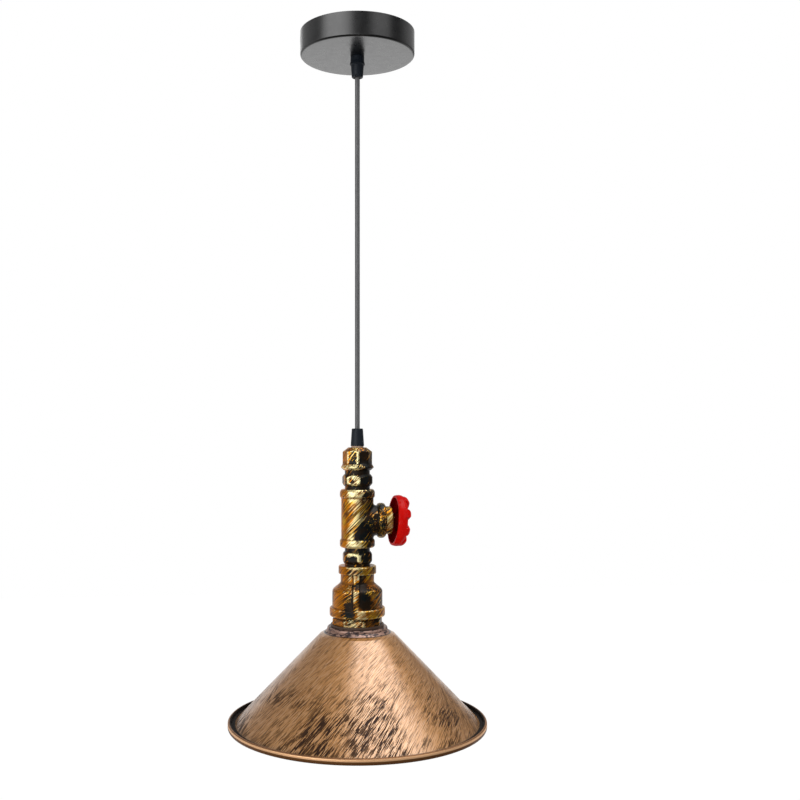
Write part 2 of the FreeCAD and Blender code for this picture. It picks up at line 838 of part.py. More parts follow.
def socket_outline(rise):
    """Outer (radius, height) points of the reducing socket, raised by an amount."""
    neck_high = socket_top - socket_small_band_width
    neck_low = neck_high - socket_neck_length
    body_high = neck_low - socket_shoulder_length
    body_low = body_high - socket_body_length
    return [(socket_neck_radius + rise, neck_high), (socket_neck_radius + rise, neck_low),
            (socket_body_radius + rise, body_high), (socket_body_radius + rise, body_low)]


def reducing_socket():
    """Cast bell socket from the pipe size to the bush, banded at both mouths and ribbed."""
    neck_high = socket_top - socket_small_band_width
    body_low = socket_bottom + socket_big_band_width
    shell = turned([(0, neck_high)] + socket_outline(0) + [(0, body_low)])
    small_band = band(socket_small_band_radius, neck_high, socket_top,
                      socket_band_edge, socket_band_edge)
    big_band = band(socket_big_band_radius, socket_bottom, body_low,
                    socket_band_edge, socket_band_edge)
    side = [V(radius, 0, height) for radius, height in socket_outline(rib_rise)]
    other = [V(-point.x, 0, point.z) for point in reversed(side)]
    rib_face = Part.Face(Part.makePolygon(side + other + side[:1]))
    rib_face.translate(V(0, -rib_width / 2, 0))
    rib = rib_face.extrude(V(0, rib_width, 0))
    rib.rotate(V(0, 0, 0), UP, 90 + view_bearing + rib_bearing)
    socket = fused([shell, small_band, big_band, rib])
    small_mouth = pipe_thread_radius + thread_clearance
    big_mouth = bush_thread_radius + thread_clearance
    small_low = socket_top - socket_small_thread_depth
    big_high = socket_bottom + socket_big_thread_depth
    waterway = turned([(0, socket_top), (small_mouth, socket_top), (small_mouth, small_low),
                       (big_mouth - socket_step_width - socket_taper, big_high + socket_taper_rise),
                       (big_mouth - socket_step_width, big_high),
                       (big_mouth, big_high), (big_mouth, socket_bottom), (0, socket_bottom)])
    return socket.cut(waterway)


def octagon_bush():
    """Bush with an octagonal head, a thread up into the socket and a floor for the stud."""
    head = prism(8, corner_of(bush_head_across_flats, 8), bush_bottom, bush_head_top, bush_head_bearing)
    corner = corner_of(bush_head_across_flats, 8)
    barrel = turned([(0, bush_bottom), (corner, bush_bottom), (corner, bush_head_top - bush_head_chamfer),
                     (corner - 2 * bush_head_chamfer, bush_head_top), (0, bush_head_top)])
    thread_high = bush_head_top + bush_thread_length
    thread = disc(bush_thread_radius, bush_bottom, thread_high)
    bush = fused([head.common(barrel), thread])
    bush = bush.cut(disc(bush_hollow_radius, bush_bottom + bush_floor, thread_high))
    return bush.cut(disc(stud_radius + slip_clearance, bush_bottom, bush_bottom + bush_floor))


# Side branch

def valve_bonnet():
    """Plug in the tee's branch with a round collar, a bore for the spindle and its seat."""
    inner = tee_reach - bonnet_thread_length
    outer = tee_reach + bonnet_length
    thread = disc(pipe_thread_radius, inner, tee_reach)
    collar = eased(disc(bonnet_radius, tee_reach, outer), bonnet_edge, [(bonnet_radius, outer)])
    plug = sideways(fused([thread, collar]))
    past_faces = spindle_collar_length
    bore = disc(spindle_radius + running_clearance, inner - past_faces, outer + past_faces)
    seat = disc(spindle_collar_radius + slip_clearance, inner - past_faces, inner + spindle_seat_depth)
    return plug.cut(on_spindle(fused([bore, seat])))


def valve_spindle():
    """Spindle kept in the bonnet by its inner collar, threaded at the wheel's end."""
    collar_outer = tee_reach - bonnet_thread_length + spindle_seat_depth - face_gap
    collar = disc(spindle_collar_radius, collar_outer - spindle_collar_length, collar_outer)
    shoulder = wheel_web_front - spindle_shoulder_depth
    rod = disc(spindle_radius, collar_outer, shoulder)
    tip = wheel_web_front + wheel_washer_thickness + wheel_nut_height + spindle_past_nut
    end = disc(spindle_end_radius, shoulder, tip)
    return on_spindle(fused([collar, rod, end]))


def wheel_body():
    """The wheel without its lobes: a rounded skirt, a flat ring, a dish and a thin web."""
    slant = math.sqrt(0.5)
    back_inner = V(wheel_back_radius - wheel_wall, 0, wheel_rim_back)
    back_outer = V(wheel_back_radius, 0, wheel_rim_back)
    bulge = V(wheel_bulge_radius, 0, wheel_bulge)
    wall_end = V(wheel_radius, 0, wheel_wall_end)
    shoulder = V(wheel_floor_radius + (wheel_radius - wheel_floor_radius) * slant, 0,
                 wheel_wall_end + (wheel_floor - wheel_wall_end) * slant)
    floor_start = V(wheel_floor_radius, 0, wheel_floor)
    points = [floor_start, V(wheel_dish_radius, 0, wheel_floor),
              V(wheel_dish_radius - wheel_dish_slope, 0, wheel_web_front), V(0, 0, wheel_web_front),
              V(0, 0, wheel_web_back),
              V(wheel_back_radius - wheel_wall - wheel_web_slope, 0, wheel_web_back),
              back_inner, back_outer]
    edges = [Part.Arc(back_outer, bulge, wall_end).toShape(),
             Part.Arc(wall_end, shoulder, floor_start).toShape()]
    for first, second in zip(points, points[1:]):
        edges.append(Part.LineSegment(first, second).toShape())
    body = Part.Face(Part.Wire(edges)).revolve(V(0, 0, 0), UP, 360)
    return fused([body, disc(wheel_hub_radius, wheel_rim_back, wheel_web_front)])


def wheel_lobe():
    """One finger lobe, along +X: a slice of a round ring under a rounded crest."""
    ring_radius = wheel_radius - wheel_lobe_inset - wheel_lobe_round
    ring = Part.makeTorus(ring_radius, wheel_lobe_round, V(0, 0, wheel_front - wheel_lobe_round))
    width = wheel_lobe_half_width
    crest = wheel_front + wheel_lobe_crest
    low = wheel_wall_end
    start = wheel_hub_radius
    corners = [V(start, -width, crest - width), V(start, -width, low), V(start, width, low),
               V(start, width, crest - width)]
    edges = [Part.Arc(corners[3], V(start, 0, crest), corners[0]).toShape()]
    for first, second in zip(corners, corners[1:]):
        edges.append(Part.LineSegment(first, second).toShape())
    slice_face = Part.Face(Part.Wire(edges))
    return ring.common(slice_face.extrude(V(wheel_radius, 0, 0)))


def handwheel():
    """Cast wheel, hollow at the back, with eight finger lobes around its front."""
    lobes = []
    for number in range(wheel_lobes):
        lobe = wheel_lobe()
        lobe.rotate(V(0, 0, 0), UP, 360 * (number + 0.5) / wheel_lobes)
        lobes.append(lobe)
    wheel = fused([wheel_body()] + lobes)
    shoulder = wheel_web_front - spindle_shoulder_depth
    wheel = wheel.cut(disc(spindle_radius + slip_clearance, wheel_rim_back, shoulder))
    wheel = wheel.cut(disc(spindle_end_radius + slip_clearance, shoulder, wheel_web_front))
    return on_spindle(wheel)


def wheel_washer():
    """Plain washer in the wheel's dish."""
    return on_spindle(disc(wheel_washer_radius, wheel_web_front,
                           wheel_web_front + wheel_washer_thickness,
                           spindle_end_radius + slip_clearance))


def wheel_nut():
    """Hexagon nut that holds the wheel on its spindle."""
    return on_spindle(nut(wheel_nut_across_flats, spindle_end_radius + thread_clearance,
                          wheel_web_front + wheel_washer_thickness, wheel_nut_height))


# Shade

def shade_gasket():
    """Fibre washer between the iron bush and the shade."""
    return eased(disc(gasket_radius, shade_top, bush_bottom, gasket_bore_radius), gasket_edge,
                 [(gasket_radius, shade_top)])


def shade():
    """Spun sheet: flat top, stepped ring, cone, gutter and a rolled rim."""
    ring_low = shade_top - ring_height
    groove_high = shade_top - ring_groove_drop
    cone_top = ring_low - shoulder_drop
    cone_base = cone_top - cone_height
    slope = math.atan2(cone_base_radius - shoulder_radius, cone_height)
    under = shade_sheet / math.cos(slope)
    bead_inner = rim_radius - rim_bead_width
    hole = stud_radius + slip_clearance
    sheet = turned([
        (hole, shade_top),
        (ring_top_radius, shade_top),
        (ring_top_radius + ring_groove_depth, groove_high),
        (ring_top_radius, groove_high - ring_groove_width / 2),
        (ring_top_radius + ring_groove_depth, groove_high - ring_groove_width),
        (ring_base_radius, ring_low),
        (shoulder_radius, cone_top),
        (cone_base_radius, cone_base),
        (bead_inner + shade_sheet, cone_base),
        (bead_inner + shade_sheet, cone_base - shade_sheet),
        (cone_base_radius - under * math.tan(slope / 2), cone_base - shade_sheet),
        (shoulder_radius - under * math.cos(slope), cone_top - shade_sheet / 2),
        (ring_base_radius - shade_sheet, ring_low - shade_sheet),
        (ring_top_radius - shade_sheet, shade_top - shade_sheet),
        (hole, shade_top - shade_sheet)])
    sheet = eased(sheet, ring_round, [(ring_top_radius, shade_top)])
    bead_high = cone_base + rim_bead_rise
    bead = disc(rim_radius, bead_high - rim_bead_height, bead_high, bead_inner)
    round_off = (rim_bead_width - rim_bead_flat) / 2
    bead = eased(bead, round_off, [(rim_radius, bead_high), (rim_radius, bead_high - rim_bead_height),
                                   (bead_inner, bead_high), (bead_inner, bead_high - rim_bead_height)])
    return fused([sheet, bead])


# Stud and lampholder

def stud_top():
    """Height of the stud's upper end, above its nut."""
    return bush_bottom + bush_floor + stud_washer_thickness + stud_nut_height + stud_past_nut


def holder_top():
    """Height of the lampholder's top, against the shade's inner face."""
    return shade_top - shade_sheet


def lamp_stud():
    """Hollow M10 stud through the bush, the gasket and the shade into the lampholder."""
    return disc(stud_radius, holder_top() - stud_grip, stud_top(), stud_bore_radius)


def stud_washer():
    """Steel washer on the bush's floor."""
    low = bush_bottom + bush_floor
    return disc(stud_washer_radius, low, low + stud_washer_thickness, stud_radius + slip_clearance)


def stud_nut():
    """Lock nut that draws the shade up against the bush."""
    low = bush_bottom + bush_floor + stud_washer_thickness
    return nut(stud_nut_across_flats, stud_radius + thread_clearance, low, stud_nut_height)


def holder_cap():
    """Domed cap of the lampholder, threaded on the stud."""
    top = holder_top()
    neck_low = top - holder_cap_neck_length
    low = top - holder_cap_height
    outer = turned([(0, top), (holder_cap_neck_radius, top), (holder_cap_neck_radius, neck_low),
                    (holder_cap_radius, neck_low - holder_dome_drop), (holder_cap_radius, low), (0, low)])
    inner_radius = holder_cap_radius - holder_wall
    inner = turned([(0, neck_low), (holder_cap_neck_radius - holder_wall, neck_low - holder_wall / 2),
                    (inner_radius, neck_low - holder_dome_drop), (inner_radius, low), (0, low)])
    cap = outer.cut(inner)
    return cap.cut(disc(stud_radius + thread_clearance, neck_low - holder_wall, top))


def core_disc_high():
    """Height of the top of the lampholder's insulating core."""
    return holder_top() - holder_cap_height + core_disc_height / 2


def holder_core():
    """Insulating core between the cap and the skirt, with holes for the screws and cores."""
    high = core_disc_high()
    low = high - core_disc_height
    core = disc(core_disc_radius, low, high)
    flange = disc(holder_cap_radius - holder_wall - slip_clearance,
                  holder_top() - holder_cap_height, high)
    core = fused([core, flange])
    for number in range(3):
        place = holder_screw_place(number)
        core = core.cut(Part.makeCylinder(holder_screw_radius + slip_clearance, core_disc_height,
                                          V(place.x, place.y, low)))
    return core.cut(disc(contact_stem_radius + slip_clearance, low, low + contact_height))


def holder_screw_place(number):
    """Place on the core's top of one of the three terminals."""
    angle = math.radians(120 * number + 90)
    return V(holder_screw_ring * math.cos(angle), holder_screw_ring * math.sin(angle), core_disc_high())


def holder_screws():
    """Three terminal screws in the core."""
    screws = []
    for number in range(3):
        place = holder_screw_place(number)
        shank = Part.makeCylinder(holder_screw_radius, holder_screw_length,
                                  place - V(0, 0, holder_screw_length))
        head = Part.makeCylinder(holder_screw_head_radius, holder_screw_head_height, place)
        slot = Part.makeBox(2 * holder_screw_head_radius, small_slot_width, screw_slot_depth,
                            place + V(-holder_screw_head_radius, -small_slot_width / 2,
                                      holder_screw_head_height - screw_slot_depth))
        screws.append(shank.fuse(head).removeSplitter().cut(slot))
    return Part.makeCompound(screws)


def holder_skirt():
    """Plastic skirt around the screw shell, under the cap."""
    high = holder_top() - holder_cap_height
    low = high - holder_skirt_length
    skirt = disc(holder_cap_radius, low, high, holder_skirt_bore_radius)
    room = disc(core_disc_radius + slip_clearance, core_disc_high() - core_disc_height, high)
    skirt = skirt.cut(room)
    return eased(skirt, holder_skirt_edge, [(holder_cap_radius, low)])


def shell_top():
    """Height of the screw shell's top, against the core."""
    return core_disc_high() - core_disc_height


def screw_shell():
    """Brass screw shell for the bulb, closed by a narrow rim at the top."""
    high = shell_top()
    outer = shell_radius + shell_wall
    tube = disc(outer, high - shell_length, high, shell_radius)
    rim = disc(outer, high - shell_wall, high, shell_rim_bore_radius)
    return fused([tube, rim])


def centre_contact():
    """Sprung brass contact in the middle of the core."""
    high = shell_top()
    stem = disc(contact_stem_radius, high, high + contact_height)
    pad = disc(contact_radius, high - contact_pad_height, high)
    return fused([stem, pad])


def lamp_flex_low():
    """Height at which the inner flex's sheath ends inside the lampholder."""
    return holder_top() - holder_cap_neck_length - sheath_past_neck


def lamp_flex():
    """The flex's sheath from the lower grip down through the pipework to the lampholder."""
    return disc(cord_radius, lamp_flex_low(), lower_pivot - swivel_room_depth)


def lamp_core(number):
    """One core from the sheath's end down to its terminal in the lampholder."""
    place = holder_screw_place(number)
    toward = V(place.x, place.y, 0)
    toward.normalize()
    foot = V(toward.x * core_spread, toward.y * core_spread, lamp_flex_low())
    rest = place.z + holder_screw_head_height + core_radius + slip_clearance
    knee = V(foot.x, foot.y, rest)
    end = V(place.x, place.y, rest)
    return bent_wire([foot, knee, end], core_radius, core_tight_bend)


save("rose_cover", rose_cover())
save("ceiling_bracket", ceiling_bracket())
save("cover_screws", Part.makeCompound([cover_screw(-1, 0), cover_screw(1, 0)]))
save("terminal_block", terminal_block())
save("terminal_inserts", terminal_inserts())
save("terminal_screws", terminal_screws())
save("block_screw", block_screw())
save("earth_washer", earth_washer())
save("earth_screw", earth_screw())
save("earth_lead", earth_lead())
for core_name, across, place in zip(("live", "neutral", "earth"), way_places(), (-1, 0, 1)):
    save("rose_" + core_name + "_core", rose_core(across, place))
save("rose_flex_tail", rose_flex_tail())
save("upper_grip_body", upper_grip_body())
save("upper_grip_washer", upper_grip_washer())
save("upper_grip_nut", upper_grip_nut())
save("upper_grip_cap", at_upper_end(taper_cap(upper_cap_length(), upper_cap_top_radius)))
save("upper_grip_clamp", at_upper_end(clamp_ring()))
save("upper_bush", at_upper_end(swivel_bush()))
save("cord", cord())
save("cord_ferrule", cord_ferrule())
save("lower_bush", at_lower_end(swivel_bush()))
save("lower_grip_cap", at_lower_end(taper_cap(lower_cap_length, lower_cap_base_radius)))
save("lower_grip_clamp", at_lower_end(clamp_ring()))
save("lower_grip_body", lower_grip_body())
save("lower_grip_washer", lower_grip_washer())
save("lower_grip_nut", lower_grip_nut())
save("pipe_cap", pipe_cap())
save("upper_nipple", hex_nipple(upper_hex_top, upper_nipple_neck_above, upper_nipple_neck_below,
                                upper_nipple_bearing))
save("pipe_tee", pipe_tee())
save("valve_bonnet", valve_bonnet())
save("valve_spindle", valve_spindle())
save("handwheel", handwheel())
save("wheel_washer", wheel_washer())
save("wheel_nut", wheel_nut())
save("lower_nipple", hex_nipple(lower_hex_top, lower_nipple_neck_above, lower_nipple_neck_below,
                                lower_nipple_bearing))
save("reducing_socket", reducing_socket())
save("octagon_bush", octagon_bush())
save("shade_gasket", shade_gasket())
save("shade", shade())
save("lamp_stud", lamp_stud())
save("stud_washer", stud_washer())
save("stud_nut", stud_nut())
save("holder_cap", holder_cap())
save("holder_core", holder_core())
save("holder_screws", holder_screws())
save("holder_skirt", holder_skirt())
save("screw_shell", screw_shell())
save("centre_contact", centre_contact())
save("lamp_flex", lamp_flex())
for number, core_name in enumerate(("live", "neutral", "earth")):
    save("lamp_" + core_name + "_core", lamp_core(number))
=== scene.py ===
import math

import bmesh
import bpy
import numpy
from mathutils import Euler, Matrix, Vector, noise


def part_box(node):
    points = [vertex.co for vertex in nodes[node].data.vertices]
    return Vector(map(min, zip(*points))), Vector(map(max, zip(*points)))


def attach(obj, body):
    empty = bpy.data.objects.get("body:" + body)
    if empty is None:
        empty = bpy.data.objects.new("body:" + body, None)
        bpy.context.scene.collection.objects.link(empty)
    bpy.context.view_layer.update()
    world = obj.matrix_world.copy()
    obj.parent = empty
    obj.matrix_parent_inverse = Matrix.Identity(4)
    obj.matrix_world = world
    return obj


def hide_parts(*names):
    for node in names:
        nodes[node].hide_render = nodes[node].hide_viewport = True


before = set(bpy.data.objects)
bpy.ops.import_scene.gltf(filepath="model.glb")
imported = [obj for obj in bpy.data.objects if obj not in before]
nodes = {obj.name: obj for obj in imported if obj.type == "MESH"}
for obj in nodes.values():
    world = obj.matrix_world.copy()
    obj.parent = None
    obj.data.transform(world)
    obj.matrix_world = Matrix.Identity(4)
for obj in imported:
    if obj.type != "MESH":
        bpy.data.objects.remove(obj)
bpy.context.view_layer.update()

# Camera
# The photograph was taken from the front, a little to the left of the branch's square view,
# at about the height of the lower end of the flex. All bearings are in degrees.
camera_distance = 1.088
front_bearing = -7
camera_bearing = math.radians(front_bearing)
camera_height = -0.410
camera_data = bpy.data.cameras.new("camera")
camera_data.lens = 46.6
camera_data.shift_x = 0.0533
camera_data.shift_y = 0.0293
camera = bpy.data.objects.new("camera", camera_data)
camera.location = (math.sin(camera_bearing) * camera_distance,
                   -math.cos(camera_bearing) * camera_distance, camera_height)
camera.rotation_euler = Euler((math.radians(90), 0, camera_bearing))
bpy.context.scene.collection.objects.link(camera)
bpy.context.scene.camera = camera


# Flex
# A round three-core flex in a smooth grey sheath, 5.2 mm thick. It hangs straight between the
# two cord grips, because the whole lamp's weight is on it.

MM = 0.001


def add(tree, kind, settings=None, **sockets):
    """A shader node with its settings, and each named socket set or linked."""
    made = tree.nodes.new("ShaderNode" + kind)
    for key, value in (settings or {}).items():
        setattr(made, key, value)
    for key, value in sockets.items():
        name = key.replace("_", " ")
        plug(tree, made.inputs[name], value)
    return made


def plug(tree, socket, value):
    """Links an output to a socket, or sets the socket's own value."""
    if isinstance(value, bpy.types.NodeSocket):
        tree.links.new(value, socket)
    elif isinstance(value, (tuple, list)) and len(value) == 3 and socket.type == "RGBA":
        socket.default_value = (*value, 1)
    else:
        socket.default_value = value


def finish_tree(name, colour, roughness, metallic=0.0):
    """A new material with one principled shader, and its node tree and shader."""
    material = bpy.data.materials.new(name)
    material.use_nodes = True
    tree = material.node_tree
    shader = tree.nodes["Principled BSDF"]
    shader.inputs["Base Color"].default_value = (*colour, 1)
    shader.inputs["Roughness"].default_value = roughness
    shader.inputs["Metallic"].default_value = metallic
    return material, tree, shader


def vector_maths(tree, operation, first, second=(0, 0, 0)):
    """One operation on a vector or on two of them, as a vector or as a value."""
    made = add(tree, "VectorMath", {"operation": operation})
    plug(tree, made.inputs[0], first)
    made.inputs[1].default_value = second
    gives_value = operation in ("DISTANCE", "DOT_PRODUCT", "LENGTH")
    return made.outputs["Value" if gives_value else "Vector"]


def scaled(tree, vector, factors):
    """A vector multiplied by three factors."""
    return vector_maths(tree, "MULTIPLY", vector, factors)


def object_mm(tree):
    """The piece's own coordinates in millimetres."""
    return scaled(tree, add(tree, "TexCoord").outputs["Object"], (1 / MM, 1 / MM, 1 / MM))


def grain(tree, vector, scale, detail, roughness=0.55):
    """Soft noise, from 0 to 1."""
    return add(tree, "TexNoise", Vector=vector, Scale=scale, Detail=detail,
               Roughness=roughness).outputs["Fac"]


def ramp(tree, value, low, high, start=0.0, end=1.0):
    """A value between two limits, spread smoothly between a start and an end."""
    made = add(tree, "MapRange", {"interpolation_type": "SMOOTHSTEP"}, Value=value)
    made.inputs["From Min"].default_value = low
    made.inputs["From Max"].default_value = high
    plug(tree, made.inputs["To Min"], start)
    plug(tree, made.inputs["To Max"], end)
    return made.outputs[0]


def blended(tree, share, first, second):
    """Two colours mixed by a share. The mixing node has its colour sockets at these places."""
    first_colour = 6
    second_colour = 7
    mixed_colour = 2
    made = add(tree, "Mix", {"data_type": "RGBA"})
    plug(tree, made.inputs[0], share)
    plug(tree, made.inputs[first_colour], first)
    plug(tree, made.inputs[second_colour], second)
    return made.outputs[mixed_colour]


def bumped(tree, shader, height, distance, strength=1.0):
    """Fine relief in the shader's normal, its height in metres."""
    made = add(tree, "Bump", Height=height, Distance=distance, Strength=strength)
    tree.links.new(made.outputs[0], shader.inputs["Normal"])


flex_radius = 2.6
flex_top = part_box("cord")[1].z / MM
flex_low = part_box("cord")[0].z / MM
flex_start = flex_top - flex_radius

flex_curve = bpy.data.curves.new("flex", "CURVE")
flex_curve.dimensions = "3D"
flex_line = flex_curve.splines.new("NURBS")
flex_heights = (flex_start, (flex_start + flex_low) / 2, flex_low)
flex_line.points.add(len(flex_heights) - 1)
for point, height in zip(flex_line.points, flex_heights):
    point.co = (0, 0, height * MM, 1)
flex_line.order_u = 3
flex_line.use_endpoint_u = True
flex_line.resolution_u = 24
flex_curve.bevel_depth = flex_radius * MM
flex_curve.bevel_resolution = 10
flex_curve.use_fill_caps = True
flex = bpy.data.objects.new("flex", flex_curve)
bpy.context.scene.collection.objects.link(flex)

sheath, tree, shader = finish_tree("grey sheath", (0.085, 0.085, 0.088), 0.38)
along = scaled(tree, object_mm(tree), (1, 1, 0.04))
streak = grain(tree, along, 2.2, 3)
tint = blended(tree, ramp(tree, streak, 0.35, 0.65), (0.070, 0.070, 0.072), (0.105, 0.105, 0.108))
plug(tree, shader.inputs["Base Color"], tint)
skin = grain(tree, object_mm(tree), 3.0, 4)
bumped(tree, shader, skin, 0.00006)
flex_curve.materials.append(sheath)

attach(flex, "flex")
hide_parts("cord")


# Ceiling rose
# A shallow cup pressed from sheet steel, open towards the ceiling, with a small rounded lower
# edge and satin black lacquer. Two countersunk screws in its side hold it to the strap.

def rounded(outline):
    """Turns the corners of an outline of (radius, height, corner radius) points into arcs, which
    take up less than half of a side."""
    steps = 5
    most_of_side = 0.49
    points = []
    count = len(outline)
    for number, (radius, height, corner) in enumerate(outline):
        here = Vector((radius, height))
        before = Vector(outline[number - 1][:2]) - here
        after = Vector(outline[(number + 1) % count][:2]) - here
        if corner == 0:
            points.append(here)
            continue
        half_turn = before.angle(after) / 2
        reach = min(corner / math.tan(half_turn), before.length * most_of_side, after.length * most_of_side)
        true_radius = reach * math.tan(half_turn)
        centre = here + (before.normalized() + after.normalized()).normalized() * (
            true_radius / math.sin(half_turn))
        first = here + before.normalized() * reach - centre
        last = here + after.normalized() * reach - centre
        sweep = first.angle_signed(last)
        for step in range(steps + 1):
            angle = -sweep * step / steps
            turned = Vector((first.x * math.cos(angle) - first.y * math.sin(angle),
                             first.x * math.sin(angle) + first.y * math.cos(angle)))
            points.append(centre + turned)
    return points


def divided(points, longest, inside):
    """Adds points to a closed outline so that no step is longer than a limit, with a coarser
    limit within the inside radius."""
    longest_hidden = 5
    finer = []
    for number, here in enumerate(points):
        there = points[(number + 1) % len(points)]
        hidden = max(here.x, there.x) < inside
        parts = max(1, math.ceil((there - here).length / (longest_hidden if hidden else longest)))
        finer += [here.lerp(there, part / parts) for part in range(parts)]
    return finer


def spun(name, outline, around, longest, shaping=None, inside=0.0):
    """A closed piece turned about the lamp's axis from an outline of corners in millimetres.
    The shaping changes each point's radius and height by its angle."""
    points = divided(rounded(outline), longest, inside)
    vertices = []
    faces = []
    for point in points:
        for number in range(around):
            angle = 2 * math.pi * number / around
            radius, height = point.x, point.y
            if shaping:
                radius, height = shaping(radius, height, angle)
            vertices.append((radius * math.cos(angle) * MM, radius * math.sin(angle) * MM, height * MM))
    for number in range(len(points)):
        ring = number * around
        above = (number + 1) % len(points) * around
        for place in range(around):
            beside = (place + 1) % around
            faces.append((ring + place, above + place, above + beside, ring + beside))
    mesh = bpy.data.meshes.new(name)
    mesh.from_pydata(vertices, [], faces)
    whole = bmesh.new()
    whole.from_mesh(mesh)
    bmesh.ops.recalc_face_normals(whole, faces=whole.faces)
    whole.to_mesh(mesh)
    whole.free()
    mesh.shade_smooth()
    piece = bpy.data.objects.new(name, mesh)
    bpy.context.scene.collection.objects.link(piece)
    even = piece.modifiers.new("even shading", "WEIGHTED_NORMAL")
    even.keep_sharp = True
    return piece


def dressed(piece, material, body, slot, *stood_for):
    """Gives a piece its material and body, and hides the CAD nodes that it stands for. The slot is not used.
    """
    piece.data.materials.clear()
    piece.data.materials.append(material)
    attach(piece, body)
    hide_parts(*stood_for)


def painted(material, *names):
    """Gives CAD nodes a material."""
    for name in names:
        nodes[name].data.materials.clear()
        nodes[name].data.materials.append(material)


def maths(tree, operation, first, second=0.0):
    """One operation on two values."""
    made = add(tree, "Math", {"operation": operation})
    plug(tree, made.inputs[0], first)
    plug(tree, made.inputs[1], second)
    return made.outputs[0]


def product(tree, first, second):
    """Two values multiplied."""
    return maths(tree, "MULTIPLY", first, second)


def from_axis(tree, place):
    """The distance from the lamp's axis of a place that is split into its parts."""
    flat = add(tree, "CombineXYZ", X=place.outputs["X"], Y=place.outputs["Y"]).outputs[0]
    return vector_maths(tree, "LENGTH", flat)


# The cup's lower outer edge is painted as a plain black line of shade on its rounded edge, without the clear
# coat's shine.
lacquer_black = (0.0045, 0.0045, 0.005)
edge_shade_black = (0.001, 0.001, 0.001)
edge_high = -23.2
edge_low = -23.8
edge_inner = 58.2
edge_outer = 58.8
lacquer, tree, shader = finish_tree("satin black lacquer", lacquer_black, 0.3)
shader.inputs["Coat Weight"].default_value = 1.0
shader.inputs["Coat Roughness"].default_value = 0.24
shader.inputs["Coat IOR"].default_value = 1.5
wear_and_sheen = grain(tree, object_mm(tree), 0.12, 4)
plug(tree, shader.inputs["Roughness"], ramp(tree, wear_and_sheen, 0.3, 0.7, 0.26, 0.36))
cup_lacquer = lacquer.copy()
cup_lacquer.name = "satin black lacquer of the cup"
tree = cup_lacquer.node_tree
shader = tree.nodes["Principled BSDF"]
place = add(tree, "SeparateXYZ", Vector=object_mm(tree))
painted_edge_shade = product(tree, ramp(tree, place.outputs["Z"], edge_high, edge_low),
                       ramp(tree, from_axis(tree, place), edge_inner, edge_outer))
plug(tree, shader.inputs["Coat Weight"], ramp(tree, painted_edge_shade, 0, 1, 1.0, 0.0))
plug(tree, shader.inputs["Base Color"], blended(tree, painted_edge_shade, lacquer_black, edge_shade_black))

rose_radius = 60
rose_depth = 25
rose_sheet = 1.2
rose_edge = 2.2
thread_hole = 5.1

# The rounding of a corner that looks crisp.
crisp = 0.3
rose = spun("rose_cup", [
    (rose_radius, 0, crisp), (rose_radius, -rose_depth, rose_edge),
    (thread_hole, -rose_depth, crisp), (thread_hole, rose_sheet - rose_depth, crisp),
    (rose_radius - rose_sheet, rose_sheet - rose_depth, rose_edge - rose_sheet),
    (rose_radius - rose_sheet, 0, crisp)], around=224, longest=6)
dressed(rose, cup_lacquer, "ceiling_rose", "black_steel", "rose_cover")
painted(lacquer, "cover_screws")


# Ceiling strap
# A zinc-plated steel strap against the ceiling, slotted for two wood screws and bent down at
# its ends for the rose's side screws, with a brass earth screw.

zinc, tree, shader = finish_tree("zinc plating", (0.55, 0.56, 0.58), 0.34, 1.0)
spangle = add(tree, "TexVoronoi", Vector=object_mm(tree), Scale=0.35).outputs["Color"]
patch = grain(tree, spangle, 2.0, 2)
zinc_grey = blended(tree, patch, (0.42, 0.43, 0.46), (0.66, 0.67, 0.68))
plug(tree, shader.inputs["Base Color"], zinc_grey)
plug(tree, shader.inputs["Roughness"], ramp(tree, patch, 0.3, 0.7, 0.28, 0.44))
painted(zinc, "ceiling_bracket", "terminal_screws", "block_screw", "upper_grip_washer", "upper_grip_nut",
        "lower_grip_nut", "wheel_washer", "wheel_nut", "lamp_stud", "stud_washer", "stud_nut")

brass, tree, shader = finish_tree("turned brass", (0.72, 0.50, 0.20), 0.3, 1.0)
tarnish = grain(tree, object_mm(tree), 0.5, 4)
brass_yellow = blended(tree, tarnish, (0.56, 0.38, 0.14), (0.80, 0.60, 0.28))
plug(tree, shader.inputs["Base Color"], brass_yellow)
plug(tree, shader.inputs["Roughness"], ramp(tree, tarnish, 0.3, 0.7, 0.22, 0.42))
painted(brass, "earth_screw", "earth_washer", "terminal_inserts", "holder_screws", "screw_shell",
        "centre_contact", "cord_ferrule", "valve_spindle")


# Terminal block and cores
# A white plastic block with a brass tube for each core, and the flex's live, neutral and earth
# cores in brown, blue and green-yellow insulation.

def plastic(name, colour, roughness):
    """Moulded plastic with a faint mottle and a fine skin."""
    shade_darker = 0.82
    shade_lighter = 1.12
    material, tree, shader = finish_tree(name, colour, roughness)
    mottle = grain(tree, object_mm(tree), 1.2, 3)
    darker = tuple(part * shade_darker for part in colour)
    lighter = tuple(min(1, part * shade_lighter) for part in colour)
    plug(tree, shader.inputs["Base Color"], blended(tree, mottle, darker, lighter))
    bumped(tree, shader, grain(tree, object_mm(tree), 4.0, 3), 0.00003)
    return material


painted(plastic("white plastic", (0.75, 0.75, 0.70), 0.4), "terminal_block")
painted(plastic("brown insulation", (0.11, 0.035, 0.012), 0.35), "rose_live_core", "lamp_live_core")
painted(plastic("blue insulation", (0.015, 0.07, 0.32), 0.35), "rose_neutral_core",
        "lamp_neutral_core")

